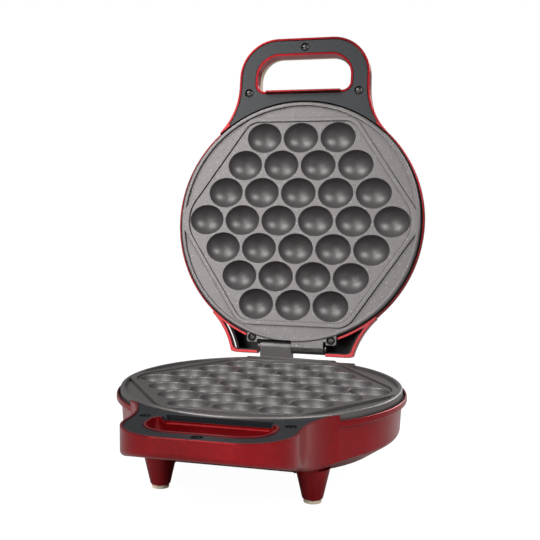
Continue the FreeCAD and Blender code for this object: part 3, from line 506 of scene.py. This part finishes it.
ear = {"inner": 60.0, "outer": 84.0, "tip": 68.2, "front": -77.2, "rear": -54.0, "top": -6.1,
       "fadeX": 0.841, "fadeY": 0.541, "outX": 0.867, "outY": -0.498, "slant": 0.676}


def slopedLoop(name, low, inset, edgeRound):
    # The loop with its outer face sloping back to the casing, and that face's edge rounded
    blank = loopBlank(name, inset, low, loop["top"])
    for side in (-1, 1):
        # Past the casing's roll the ear fades out into the wall
        left, right = sorted((side * ear["inner"], side * ear["outer"]))
        fade = addBox("earFade", (left, ear["front"], low), (right, ear["rear"], ear["top"]))
        sliceOff(fade, (side * (ear["tip"] - inset), ear["front"], 0),
                 (-side * ear["fadeX"], ear["fadeY"], 0))
        weld(blank, fade)
    rise = math.tan(math.radians(loop["slope"]))
    sliceOff(blank, (0, -loop["reach"], -loop["end"]), (0, rise, 1))

    def onSlope(a, b):
        return all(abs(p.z + loop["end"] + (p.y + loop["reach"]) * rise) < near for p in (a, b))

    bevelWhere(blank, onSlope, edgeRound, 6)
    for side in (-1, 1):
        # The ear's underside follows the casing's slant
        out = Vector((side * ear["outX"], ear["outY"], 0))
        sliceOff(blank, (side * ear["tip"], ear["front"], -rim["crease"]),
                 Vector((0, 0, 1)) - out * ear["slant"])
    return blank


rim = {"lip": 103.0, "lipTop": 4.5, "gutter": 101.4, "seat": -7.0, "wall": 99.2, "wallTop": 10.4,
       "crease": 30.5, "creaseRadius": 98.2, "floor": 42.0, "floorRadius": 81.2, "ledge": 94.0,
       "roomRadius": 97.0}

# The rolled lip, from the gutter over its crest and back under to the casing's wall
lipRoll = [(rim["gutter"], rim["seat"], 0), (rim["gutter"], -rim["lipTop"], 0.35),
           (rim["lip"] - 0.35, -rim["lipTop"], 0.7), (rim["lip"], -8.3, 1.3),
           (rim["wall"] + 0.1, -rim["wallTop"], 0.7)]


# Base casing

base = {"legX": 51.7, "legY": 68.0, "legTop": 11.3, "legFoot": 6.8, "foot": 57.6, "footRound": 1.3,
        "legRoot": -37, "loopLow": -46, "ledgeThick": 2.4, "wallTop": 96.0, "wallLow": 95.6, "bend": -29.2,
        "floorEdge": 79.9, "floorTop": -39.4, "round": 5.0}
bay = {"half": 38.0, "front": 88, "back": 102.0, "knuckleFront": 92, "knuckleBack": 109.1,
       "knuckleLeft": -27, "knuckleRight": 1, "knuckleTop": 3, "top": 2}
notch = {"half": 33.0, "depth": 5.2, "slope": 4.0, "flare": 1.3, "front": 2, "back": 0.3, "top": 2}
underside = {"half": 40.7, "front": (-96.8, -28.6), "back": (-63.0, -41.2), "thick": 3.4}
undersideRoom = {"half": 40.3, "front": (-101.0, -30.3), "back": (-58.0, -45.5), "thick": 30.0}
glandSeat = {"hole": 5.6, "level": -24, "from": 104, "to": 116}
vent = {"x": 34, "half": 13, "pitch": 9, "halfWide": 1.5, "low": -45, "high": -38}

underLedge = rim["seat"] - base["ledgeThick"]
panProfile = softCorners(
    [(0, -rim["floor"], 0), (rim["floorRadius"], -rim["floor"], base["round"]),
     (rim["creaseRadius"], -rim["crease"], base["round"])]
    + [(r, z, c) for r, z, c in reversed(lipRoll)]
    + [(rim["ledge"], rim["seat"], 0), (rim["ledge"], underLedge, 0), (base["wallTop"], underLedge, 0),
       (base["wallLow"], base["bend"], 0), (base["floorEdge"], base["floorTop"], 0),
       (0, base["floorTop"], 0)], 5)
baseShell = spinProfile("baseShell", panProfile)

baseLoop = slopedLoop("baseLoop", base["loopLow"], 0, loop["round"])
bevelWhere(baseLoop, levelAt(loop["top"]), loop["topRound"], 2)
clearOfPlate(baseLoop)
baseSkirt = skirtBlank("baseSkirt", skirt["baseReach"], 0, -skirt["baseDepth"],
                       -rim["lipTop"] + apart["skirtTop"])
bevelWhere(baseSkirt, levelAt(-skirt["baseDepth"]), skirt["round"], 5)
clearOfPlate(baseSkirt)
legProfile = softCorners([(0, -base["foot"], 0), (base["legFoot"] - 0.2, -base["foot"], base["footRound"]),
                          (base["legTop"], base["legRoot"], 0), (0, base["legRoot"], 0)], 4)
weld(baseShell, baseLoop)
weld(baseShell, baseSkirt)
leg = spinProfile("leg", legProfile, steps=48)
legs = [copyOf(leg, "leg", (sx * base["legX"], sy * base["legY"], 0))
        for sx in (-1, 1) for sy in (-1, 1)]
bpy.data.objects.remove(leg, do_unlink=True)
weld(baseShell, joined(legs, "legs"))
# Between the front legs the underside rises to the casing's wall, so it doesn't hang below the handle
weld(baseShell, slopedBar("underside", underside["half"], underside["front"], underside["back"],
                          underside["thick"]))
cut(baseShell, slopedBar("undersideRoom", undersideRoom["half"], undersideRoom["front"],
                         undersideRoom["back"], undersideRoom["thick"]))
print("base casing welded")

cut(baseShell, gripBlank("fingerOpening", 0, past["deep"], past["above"]))
insert = {"top": -1.2, "bottom": -3.6, "rim": 1.7, "gap": 0.45, "inner": 101.25, "end": 62.8,
          "endFront": -82.6, "topRound": 0.3, "boreFloor": -3.2}
tray = {"wall": 1.2, "floor": 1.6, "front": -106.7, "back": -101.3, "lean": 0.7, "hollowFront": -110,
        "hollowBack": -102.5, "hollowTop": 3, "gap": 0.3, "roomFront": -106.9, "roomBack": -100.3}


def shortOfEars(blank, gap):
    # The inserts stop short of the ears' tips
    for side in (-1, 1):
        sliceOff(blank, (side * (insert["end"] - gap), insert["endFront"], 0), (-side * 0.8, -0.6, 0))
    return blank


def insertSeat():
    # The recess that an insert sinks into
    seat = shortOfEars(loopBlank("insertSeat", insert["rim"], insert["bottom"], past["above"]), 0)
    return cut(seat, gripBlank("gripWall", grip["wall"], -past["high"], past["high"]))


def gutterShadePainted(shell):
    # Painted shade: the gutter round the plate lies in shade, so its faces get a black material
    shell.data.materials.append(candyRed)
    shell.data.materials.append(paintedShadeBlack)
    for face in shell.data.polygons:
        spot = face.center / mm
        inGutter = math.hypot(spot.x, spot.y) < rim["gutter"] + 0.1 and rim["seat"] - 0.1 < spot.z < -1.0
        face.material_index = 1 if inGutter else 0


cut(baseShell, insertSeat())
lipBack = -grip["near"] + grip["wall"]
cut(baseShell, taperedBlock("lipNotch", (-notch["half"], -grip["near"] - notch["front"], -notch["depth"]),
                            (notch["half"], lipBack + notch["back"], notch["top"]),
                            notch["slope"] * notch["flare"]))
cut(baseShell, taperedBlock("trayRoom", (-notch["half"] - tray["gap"], tray["roomFront"], rim["seat"]),
                            (notch["half"] + tray["gap"], tray["roomBack"], notch["top"]),
                            notch["slope"] * notch["flare"]))
cut(baseShell, addBox("tabBay", (-bay["half"], bay["front"], rim["seat"] + apart["tabBay"]),
                      (bay["half"], bay["back"], bay["top"])))
knuckleLow = rim["seat"] - apart["knuckleBay"]
cut(baseShell, addBox("knuckleBay", (bay["knuckleLeft"], bay["knuckleFront"], knuckleLow),
                      (bay["knuckleRight"], bay["knuckleBack"], bay["knuckleTop"])))
room = skirtBlank("skirtRoom", skirt["baseReach"], skirt["wall"], -skirt["baseDepth"] + skirt["wall"],
                  past["above"])
cut(room, addDrum("pan", rim["lip"], past["deep"], past["high"], sides=fine))
cut(baseShell, room)
cut(baseShell, addBar("glandHole", glandSeat["hole"], (0, glandSeat["from"], glandSeat["level"]),
                      (0, glandSeat["to"], glandSeat["level"]), 'Y', 32))
vents = [addBox("vent", (s * vent["x"] - vent["half"], y - vent["halfWide"], vent["low"]),
                (s * vent["x"] + vent["half"], y + vent["halfWide"], vent["high"]))
         for s in (-1, 1) for y in (-vent["pitch"], 0, vent["pitch"])]
cut(baseShell, joined(vents, "vents"))
# The black in the gutter is painted shade
gutterShadePainted(baseShell)
finishPiece(baseShell, "redBase", toBase, candyRed, "base", ["lower_shell"])


# Lid frame

# The loop and skirt end a few hundredths above the ring's underside, so their faces don't coincide
frameLow = {"ring": -11, "loop": -10.97, "skirt": -10.94, "seam": -11.05}
window = {"half": 28.4, "front": 97.9}
lip = {"half": 32.4, "low": -2.4, "high": 3.6, "taper": -1.4, "round": 0.5}

ringProfile = softCorners(lipRoll + [(rim["wall"], frameLow["ring"], 0), (rim["ledge"], frameLow["ring"], 0),
                                     (rim["ledge"], rim["seat"], 0)], 5)
lidFrame = spinProfile("lidFrame", ringProfile + ringProfile[:1])
lidLoop = loopBlank("lidLoop", 0, frameLow["loop"], loop["top"])
bevelWhere(lidLoop, levelAt(loop["top"]), loop["topRound"], 2)
clearOfPlate(lidLoop)
lidSkirt = skirtBlank("lidSkirt", skirt["lidReach"], 0, frameLow["skirt"], -skirt["drop"])
bevelWhere(lidSkirt, levelAt(-skirt["drop"]), loop["topRound"], 2)
clearOfPlate(lidSkirt)
weld(lidFrame, lidLoop)
weld(lidFrame, lidSkirt)
cut(lidFrame, gripBlank("fingerOpening", 0, past["deep"], past["above"]))
cut(lidFrame, insertSeat())
cut(lidFrame, addBox("tabBay", (-bay["half"], bay["front"], rim["seat"] + apart["tabBay"]),
                     (bay["half"], bay["back"], bay["top"])))
room = skirtBlank("skirtRoom", skirt["lidReach"], skirt["wall"], past["deep"], past["above"])
cut(room, addDrum("pan", rim["lip"], past["floor"], past["high"], sides=fine))
cut(lidFrame, room)
cut(lidFrame, addBox("hingeWindow", (-window["half"], window["front"], past["deep"]),
                     (window["half"], past["behind"], past["high"])))
lipTab = taperedBlock("lipTab", (-lip["half"], -grip["near"] + apart["lipTab"], lip["low"]),
                      (lip["half"], lipBack - apart["lipTab"], lip["high"]), lip["taper"])
bevelWhere(lipTab, levelAt(lip["high"]), lip["round"], 2)
weld(lidFrame, lipTab)
# The black in the gutter is painted shade
gutterShadePainted(lidFrame)
finishPiece(lidFrame, "redLidFrame", toLid, candyRed, "lid", ["upper_shell"])


# Lid cover

crown = {"top": -39.5, "under": -37.1, "crease": 98.0, "edge": 99.0, "round": 6.0, "innerEdge": 96.5,
         "innerCrease": 95.4, "innerBend": -29.3, "innerFloor": 79.6, "loopLow": -44, "loopEnd": -39.4,
         "loopInset": 0.7, "loopRound": 7.0, "skirtOver": 1.7, "skirtInset": 3.2, "skirtWall": 2.0,
         "opening": 1.4, "windowTop": -16, "lensHole": 3.1, "lensHigh": -20, "lensX": 10, "lensY": -70}
seam = frameLow["seam"]
coverProfile = softCorners(
    [(0, crown["top"], 0), (rim["floorRadius"] - 0.3, crown["top"], crown["round"]),
     (crown["crease"], -rim["crease"], crown["round"]), (crown["edge"], seam, 0),
     (crown["innerEdge"], seam, 0), (crown["innerCrease"], crown["innerBend"], 0),
     (crown["innerFloor"], crown["under"], 0), (0, crown["under"], 0)], 5)
cover = spinProfile("lidCover", coverProfile)
coverLoop = slopedLoop("coverLoop", crown["loopLow"], crown["loopInset"], crown["loopRound"])
sliceOff(coverLoop, (0, 0, seam), (0, 0, -1))
sliceOff(coverLoop, (0, 0, crown["loopEnd"]), (0, 0, 1))
clearOfPlate(coverLoop)
coverReach = skirt["lidReach"] + crown["skirtOver"]
coverSkirt = skirtBlank("coverSkirt", coverReach, crown["skirtInset"], -skirt["lidDepth"], seam)
bevelWhere(coverSkirt, levelAt(-skirt["lidDepth"]), skirt["round"], 5)
clearOfPlate(coverSkirt)
weld(cover, coverLoop)
weld(cover, coverSkirt)
cut(cover, gripBlank("fingerOpening", crown["opening"], past["deep"], past["above"]))
room = skirtBlank("skirtRoom", coverReach, crown["skirtInset"] + crown["skirtWall"],
                  -skirt["lidDepth"] + skirt["wall"], past["above"])
cut(room, addDrum("pan", rim["wall"], past["floor"], past["high"], sides=fine))
cut(cover, room)
cut(cover, addBox("hingeWindow", (-window["half"], hinge["back"], crown["windowTop"]),
                  (window["half"], past["behind"], past["high"])))
lensHoles = [addDrum("lensHole", crown["lensHole"], past["below"], crown["lensHigh"], s * crown["lensX"],
                     crown["lensY"], 32) for s in (-1, 1)]
cut(cover, joined(lensHoles, "lensHoles"))
cover.data.materials.append(creamShell)
cover.data.materials.append(paintedShadeBlack)
hollow = {"front": 80, "low": -31, "radius": 99.5, "floorFront": 90}
for face in cover.data.polygons:
    # Painted shade: the hollow behind the hinge tab, its floor and the seam under the frame get the black material
    # where they lie in shade
    spot = face.center / mm
    inward = face.normal.dot(Vector((spot.x, spot.y, 0))) < 1
    inHollow = spot.y > hollow["front"] and spot.z > hollow["low"] and spot.length > hollow["radius"]
    onSeam = abs(spot.z - seam) < 0.1
    onFloor = spot.y > hollow["floorFront"] and abs(spot.z + skirt["lidDepth"] - skirt["wall"]) < 0.2
    face.material_index = 1 if (inHollow and inward) or onSeam or onFloor else 0
finishPiece(cover, "creamLidCover", toLid, creamShell, "lid", ["top_cover"])


# Handle inserts

def insertBlank(name):
    blank = shortOfEars(loopBlank(name, insert["rim"] + insert["gap"], insert["bottom"], insert["top"]),
                        insert["gap"])
    bevelWhere(blank, levelAt(insert["top"]), insert["topRound"], 2)
    cut(blank, gripBlank("gripRoom", grip["wall"] + insert["gap"], -past["high"], past["high"]))
    cut(blank, addDrum("plateRoom", insert["inner"], -past["top"], past["top"], sides=fine))
    holes = [addDrum("counterbore", screw["bore"], insert["boreFloor"], past["above"], x, y, 40)
             for x, y in screwSpots]
    return cut(blank, joined(holes, "counterbores"))


screw = {"head": 3.2, "height": 1.7, "shank": 1.6, "slot": 0.75, "reach": 2.1, "deep": 1.1, "bore": 3.7,
         "flat": 1.9, "dome": 0.12, "shoulder": 0.75, "round": 0.5}
screwSpots = [(0, -147.0), (46.4, -108.6), (-46.4, -108.6)]
tabScrews = [(-32.6, 97.0), (32.6, 97.0)]
lidInsert = insertBlank("lidInsert")
finishPiece(lidInsert, "greyLidInsert", toLid, insertGrey, "lid", ["upper_handle_insert"])

baseInsert = insertBlank("baseInsert")
weld(baseInsert, taperedBlock("tray", (-notch["half"], tray["front"], -notch["depth"] - tray["floor"]),
                              (notch["half"], tray["back"], insert["top"]), notch["slope"] * tray["lean"]))
half = notch["half"] - tray["wall"]
cut(baseInsert, taperedBlock("trayHollow", (-half, tray["hollowFront"], -notch["depth"]),
                             (half, tray["hollowBack"], tray["hollowTop"]),
                             notch["slope"] * notch["flare"]))
cut(baseInsert, addDrum("plateRoom", insert["inner"], -past["top"], past["top"], sides=fine))
finishPiece(baseInsert, "greyBaseInsert", toBase, insertGrey, "base", ["lower_handle_insert"])


# Screws

def screwSet(name, places, top, length, place, body, node):
    # A pan-head screw with a cross slot, modelled once and copied
    head = spinProfile("screw", softCorners(
        [(0, 0, 0), (screw["flat"], -screw["dome"], 0), (screw["head"], -screw["shoulder"], screw["round"]),
         (screw["head"], -screw["height"], 0), (screw["shank"], -screw["height"], 0),
         (screw["shank"], -length, 0), (0, -length, 0)], 3), steps=40)
    half, reach = screw["slot"] / 2, screw["reach"]
    for wide, long in ((half, reach), (reach, half)):
        cut(head, addBox("crossSlot", (-wide, -long, -screw["deep"]), (wide, long, 1)))
    copies = [copyOf(head, "screw", (x, y, top)) for x, y in places]
    bpy.data.objects.remove(head, do_unlink=True)
    finishPiece(joined(copies, name), name, place, screwBlack, body, [node])


for name, places, top, length in (("Handle", screwSpots, -1.6, 11.6), ("Plate", tabScrews, -2.0, 15.0)):
    for body, place, half in (("base", toBase, "lower"), ("lid", toLid, "upper")):
        screwSet(body + name + "Screws", places, top, length, place, body,
                 half + "_" + name.lower() + "_screws")
print("screws placed")


# Cast plates

plate = {"radius": 100.0, "edge": 1.4, "skirt": 7.0, "rimWidth": 3.2, "pocket": 2.2, "field": 1.3,
         "reach": 86.6, "flat": 45.0, "rib": 3.3, "ribRound": 0.35, "tip": 27, "corner": 15,
         "fieldCorner": 12, "groove": 0.6, "back": 16.0, "backRadius": 93.8, "blockInset": 1.0,
         "blockOverlap": 0.5, "cutTop": 4, "grooveTop": 0.4}
pit = {"rows": (3, 4, 5, 6, 5, 4, 3), "pitchX": 31.0, "pitchY": 23.2, "wide": 28.4, "tall": 24.6,
       "deep": 12.0, "bands": 14, "paintTop": -1.7, "paintBack": 88, "wellTop": -4,
       "brim": ((0, -0.9), (0.08, -0.45), (0.3, -0.14), (0.7, 0.06), (2.4, 0.5))}
tab = {"half": 37.0, "front": 84, "back": 101.0, "low": -6.0, "top": -0.8, "corner": 2.0, "round": 0.4,
       "room": 98.5, "boreFloor": -3.7}
knuckle = {"radius": 4.7, "long": 26.0, "gap": 0.4, "bore": 2.05, "lowerArm": -5.93, "upperArm": -6.93,
           "upperTop": -0.85, "headRoom": 2.4, "roomBack": 120, "edge": 0.4}


def hexBlank(name, inset, low, high, tipRound, cornerRound):
    # The pit field's hexagon: its slanted sides follow the staggered rows
    lean = pit["pitchX"] / 2 / pit["pitchY"]
    reach = plate["reach"] - inset
    tip = plate["flat"] + plate["reach"] * lean - inset * math.hypot(1, lean)
    blank = addBox(name, (-tip, -reach, low), (tip, reach, high))
    for sx in (-1, 1):
        for sy in (-1, 1):
            sliceOff(blank, (sx * tip, 0, 0), (-sx, -sy * lean, 0))
    if tipRound:
        bevelWhere(blank, lambda a, b: upright(a, b) and abs(a.x) > tip - near, tipRound * 0.667, 8)
    return bevelWhere(blank, lambda a, b: upright(a, b) and abs(abs(a.y) - reach) < near,
                      cornerRound * 0.535, 8)


def pitTool():
    # One pit as a cutter: an oval bowl whose brim flares into a small rounded edge
    wide, turns = pit["wide"] / 2, [math.pi / 2 * k / pit["bands"] for k in range(pit["bands"])]
    bowl = [(wide * math.sin(t), -pit["deep"] * math.cos(t)) for t in turns]
    brim = [(wide + out, level) for out, level in pit["brim"]]
    tool = spinProfile("pit", bowl + brim + [(0, brim[-1][1])], steps=48)
    tool.data.transform(Matrix.Translation((0, 0, -plate["field"] * mm)))
    tool.data.transform(Matrix.Scale(pit["tall"] / pit["wide"], 4, (0, 1, 0)))
    return tool


def castPlate(name):
    outline = softCorners([(0, -plate["skirt"], 0), (plate["radius"], -plate["skirt"], 0),
                           (plate["radius"], 0, plate["edge"]), (0, 0, 0)], 5)
    body = spinProfile(name, outline)
    weld(body, hexBlank("pitBlock", plate["blockInset"], -plate["back"],
                        -plate["skirt"] + plate["blockOverlap"], plate["tip"], plate["corner"]))
    cut(body, addDrumRing("outerRoom", plate["backRadius"], past["round"], -past["top"],
                          -plate["skirt"] - apart["plateBack"]))
    inner = plate["radius"] - plate["rimWidth"]
    pockets = addDrum("pockets", inner, -plate["pocket"], plate["cutTop"], sides=fine)
    cut(pockets, hexBlank("ribOutside", 0, -past["high"], past["high"], 0, plate["corner"]))
    cut(body, pockets)
    cut(body, hexBlank("field", plate["rib"], -plate["field"], plate["cutTop"], plate["tip"],
                       plate["fieldCorner"]))
    bevelWhere(body, lambda a, b: levelAt(0)(a, b) and math.hypot(a.x, a.y) < 98, plate["ribRound"], 2)
    width = plate["groove"]
    outerSide = (-width, -plate["pocket"], 0, plate["corner"])
    innerSide = (plate["rib"] + apart["groove"], -plate["field"], plate["tip"], plate["fieldCorner"])
    for inset, level, tip, corner in (outerSide, innerSide):
        # A fine groove runs along each side of the rib
        groove = hexBlank("groove", inset, level - width, level + plate["grooveTop"], tip, corner)
        cut(groove, hexBlank("grooveInside", inset + width, -past["high"], past["high"], tip, corner))
        cut(groove, addDrumRing("rimRoom", inner - 0.1, past["round"], -past["high"], past["high"]))
        cut(body, groove)
    hingeTab = addBox("tab", (-tab["half"], tab["front"], tab["low"]),
                      (tab["half"], tab["back"], tab["top"]))
    bevelWhere(hingeTab, lambda a, b: upright(a, b) and a.y > tab["back"] - 1, tab["corner"], 4)
    bevelWhere(hingeTab, levelAt(tab["top"]), tab["round"], 2)
    bores = [addDrum("counterbore", screw["bore"], tab["boreFloor"], past["above"], x, y, 40)
             for x, y in tabScrews]
    cut(hingeTab, joined(bores, "counterbores"))
    cut(hingeTab, addDrum("plateRoom", tab["room"], -past["top"], past["top"], sides=fine))
    weld(body, hingeTab)
    tool = pitTool()
    tools = []
    middleRow = len(pit["rows"]) // 2
    for row, count in enumerate(pit["rows"]):
        for column in range(count):
            spot = ((column - (count - 1) / 2) * pit["pitchX"], (row - middleRow) * pit["pitchY"], 0)
            tools.append(copyOf(tool, "pit", spot))
    bpy.data.objects.remove(tool, do_unlink=True)
    cut(body, joined(tools, "pits"))
    body.data.materials.append(speckled)
    body.data.materials.append(shadedPitCoating)
    # Pit faces get the darker coating as painted shade
    for face in body.data.polygons:
        spot = face.center / mm
        inPit = face.normal.z > 0.02 and spot.z < pit["paintTop"] and spot.y < pit["paintBack"]
        face.material_index = 1 if inPit and (face.normal.z < 0.98 or spot.z < pit["wellTop"]) else 0
    return body


def addDrumRing(name, inner, outer, low, high):
    return spinProfile(name, [(inner, low), (outer, low), (outer, high), (inner, high), (inner, low)])


def barrelKnuckle(start, end, level, armFront, armBack, armLow, armHigh):
    # A knuckle on its arm, bored for the pin
    arm = addBox("arm", (start, armFront, armLow), (end, armBack, armHigh))
    barrel = addBar("knuckle", knuckle["radius"], (start, hinge["back"], level), (end, hinge["back"], level),
                    'X')
    bevelWhere(barrel, lambda a, b: abs(a.x - b.x) < near, knuckle["edge"], 2)
    weld(arm, barrel)
    return cut(arm, addBar("bore", knuckle["bore"], (start - past["above"], hinge["back"], level),
                           (end + past["above"], hinge["back"], level), 'X', 40))


front = hinge["back"] - knuckle["radius"]
lowerPlate = castPlate("lowerPlate")
weld(lowerPlate, barrelKnuckle(-knuckle["long"], 0, hinge["rise"], front, hinge["back"] + knuckle["radius"],
                               knuckle["lowerArm"], hinge["rise"]))
finishPiece(lowerPlate, "lowerCastPlate", toBase, speckled, "base", ["lower_plate"])

upperPlate = castPlate("upperPlate")
notchEdge = front - knuckle["gap"]
end = knuckle["gap"] + knuckle["long"]
cut(upperPlate, addBox("notch", (-window["half"], notchEdge, -past["top"]),
                       (knuckle["gap"], knuckle["roomBack"], past["high"])))
cut(upperPlate, addBox("headRoom", (end, notchEdge, -past["top"]),
                       (end + knuckle["headRoom"], knuckle["roomBack"], past["high"])))
weld(upperPlate, barrelKnuckle(knuckle["gap"], end, hinge["gap"] - hinge["rise"],
                               hinge["back"] - 2 * knuckle["radius"], hinge["back"], knuckle["upperArm"],
                               knuckle["upperTop"]))
finishPiece(upperPlate, "upperCastPlate", toLid, speckled, "lid", ["upper_plate"])
print("plates cast")


# Feet, gland and lenses

pad = {"radius": 5.8, "low": -60.0, "high": -57.6, "stem": 2.5, "stemTop": -50.6}
padProfile = softCorners([(0, pad["low"], 0), (pad["radius"], pad["low"], 0.5),
                          (pad["radius"], pad["high"], 0.4), (pad["stem"], pad["high"], 0),
                          (pad["stem"], pad["stemTop"], 0), (0, pad["stemTop"], 0)], 3)
for side, sideName in ((-1, "left"), (1, "right")):
    for end, endName in ((-1, "front"), (1, "rear")):
        foot = spinProfile("pad", padProfile, side * base["legX"], end * base["legY"], steps=48)
        finishPiece(foot, "pad_" + endName + "_" + sideName, toBase, padCream, "base",
                    ["foot_pad_" + endName + "_" + sideName])

bush = {"bore": 3.4, "flange": 7.4, "neck": 5.5, "inside": -2.2, "wall": 2.4, "outside": 4.5, "y": 109.6}
glandProfile = softCorners([(bush["bore"], bush["inside"], 0), (bush["flange"], bush["inside"], 0.6),
                            (bush["flange"], 0, 0), (bush["neck"], 0, 0), (bush["neck"], bush["wall"], 0),
                            (bush["flange"], bush["wall"], 0), (bush["flange"], bush["outside"], 1.2),
                            (bush["bore"], bush["outside"], 0)], 3)
gland = spinProfile("gland", glandProfile + glandProfile[:1], steps=48)
throughWall = Matrix.Translation((0, bush["y"] * mm, glandSeat["level"] * mm))
gland.data.transform(throughWall @ Matrix.Rotation(-math.pi / 2, 4, 'X'))
finishPiece(gland, "cordGland", toBase, glandBlack, "base", ["cord_gland"])

cap = {"radius": 3.0, "top": -40.7, "round": 0.8, "flange": 4.1, "flangeTop": -39.65,
       "flangeLow": -39.6, "low": -34.6}
lensProfile = softCorners([(0, cap["top"], 0), (cap["radius"], cap["top"], cap["round"]),
                           (cap["flange"], cap["flangeTop"], 0), (cap["radius"], cap["flangeLow"], 0),
                           (cap["radius"], cap["low"], 0), (0, cap["low"], 0)], 3)
for side, lensName, tint, slotName in ((-1, "power_lens", redLens, "red_lens"),
                                       (1, "ready_lens", greenLens, "green_lens")):
    lens = spinProfile("lens", lensProfile, side * crown["lensX"], crown["lensY"], steps=40)
    finishPiece(lens, lensName + "_cap", toLid, tint, "lid", [lensName])

# Pieces that keep their own solids get their real finish
finishes = {"heater_steel": heaterSteel, "sheet_steel": sheetSteel, "pin_steel": pinSteel,
            "switch_ceramic": ceramic, "terminal_plastic": nylon, "lamp_glass": lampGlass,
            "screw_black": screwBlack, "red_shell": candyRed, "cream_plastic": creamShell,
            "handle_grey": insertGrey, "plate_coating": speckled, "gland_rubber": glandBlack,
            "pad_rubber": padCream, "red_lens": redLens, "green_lens": greenLens}
for part in frame["record"]["subparts"]:
    node = frame["nodes"][part["node"]]
    for i in range(len(node.material_slots)):
        node.material_slots[i].material = finishes[part["material_slot"]]
print("finishes set")


# Floor, light and camera

stage = {"floor": 6.0, "drop": 0.0001, "paint": "#9a9a9a", "roughness": 0.6, "white": "#ffffff",
         "glow": 1.5, "shadow": 0.35, "ambient": 0.3, "horizon": 0.14, "backdrop": 1.0}
bpy.ops.mesh.primitive_plane_add(size=stage["floor"], location=(0, 0, -stage["drop"]))
floor = bpy.context.object
floor.name = "studioFloor"
floorPaint, tree, shader = newMaterial("paleFloor")
setShader(shader, {"Base Color": linear(stage["paint"]), "Roughness": stage["roughness"]})
out = tree.nodes["Material Output"]
path = addNode(tree, "ShaderNodeLightPath")
glow = addNode(tree, "ShaderNodeEmission", {"Color": linear(stage["white"]), "Strength": stage["glow"]})
share = addNode(tree, "ShaderNodeMath", {"operation": 'MULTIPLY', 1: 1 - stage["shadow"]},
                {0: path.outputs["Is Camera Ray"]})
mix = addNode(tree, "ShaderNodeMixShader", None,
              {"Fac": share.outputs[0], 1: shader.outputs[0], 2: glow.outputs[0]})
tree.links.new(mix.outputs[0], out.inputs["Surface"])
floor.data.materials.append(floorPaint)

# The room is dim for the object and plain white behind it
world = bpy.data.worlds.new("studio")
bpy.context.scene.world = world
world.use_nodes = True
tree = world.node_tree
path = addNode(tree, "ShaderNodeLightPath")
seen = addNode(tree, "ShaderNodeMath", {"operation": 'MAXIMUM'},
               {0: path.outputs["Is Camera Ray"], 1: path.outputs["Is Transmission Ray"]})
plain, dim, bright = [addNode(tree, "ShaderNodeBackground",
                              {"Color": linear(stage["white"]), "Strength": stage[strength]})
                      for strength in ("ambient", "horizon", "backdrop")]
room = addNode(tree, "ShaderNodeMixShader", None,
               {"Fac": path.outputs["Is Glossy Ray"], 1: plain.outputs[0], 2: dim.outputs[0]})
mix = addNode(tree, "ShaderNodeMixShader", None,
              {"Fac": seen.outputs[0], 1: room.outputs[0], 2: bright.outputs[0]})
tree.links.new(mix.outputs[0], tree.nodes["World Output"].inputs["Surface"])

lamps = {"front": ((-0.75, -2.2, 0.85), 1.1, 17.0), "left": ((-1.1, -1.0, 1.7), 1.0, 32.0),
         "right": ((1.4, -1.0, 1.5), 1.0, 28.0), "top": ((0.0, 0.1, 2.0), 0.8, 8.0),
         "back": ((0.9, 2.2, 1.3), 1.3, 26.0)}
lampsAim = Vector((0, 0.05, 0.1))
for lampName, (spot, size, power) in lamps.items():
    light = bpy.data.lights.new(lampName, 'AREA')
    light.size = size
    light.energy = power
    lamp = bpy.data.objects.new(lampName, light)
    bpy.context.collection.objects.link(lamp)
    lamp.location = spot
    lamp.rotation_euler = (lampsAim - Vector(spot)).to_track_quat('-Z', 'Y').to_euler()

view = {"imageSize": 540, "focalPixels": 959.7, "middle": (214.3, 268.1), "sensor": 36.0,
        "eye": (167.8, -656.4, 147.2), "ahead": (-0.29347, 0.95120, -0.09534),
        "right": (0.95560, 0.29467, -0.00154)}
lens = bpy.data.cameras.new("photoCamera")
lens.sensor_width = view["sensor"]
lens.lens = view["focalPixels"] / view["imageSize"] * view["sensor"]
lens.shift_x = 0.5 - view["middle"][0] / view["imageSize"]
lens.shift_y = view["middle"][1] / view["imageSize"] - 0.5
lens.clip_start = 0.01
camera = bpy.data.objects.new("photoCamera", lens)
bpy.context.collection.objects.link(camera)
ahead = Vector(view["ahead"]).normalized()
right = (Vector(view["right"]) - ahead * ahead.dot(Vector(view["right"]))).normalized()
up = right.cross(ahead)
eye = toBase @ (Vector(view["eye"]) * mm)
camera.matrix_world = Matrix((
    (right.x, up.x, -ahead.x, eye.x), (right.y, up.y, -ahead.y, eye.y), (right.z, up.z, -ahead.z, eye.z),
    (0, 0, 0, 1)))
bpy.context.scene.camera = camera
bpy.context.scene.view_settings.view_transform = 'Standard'
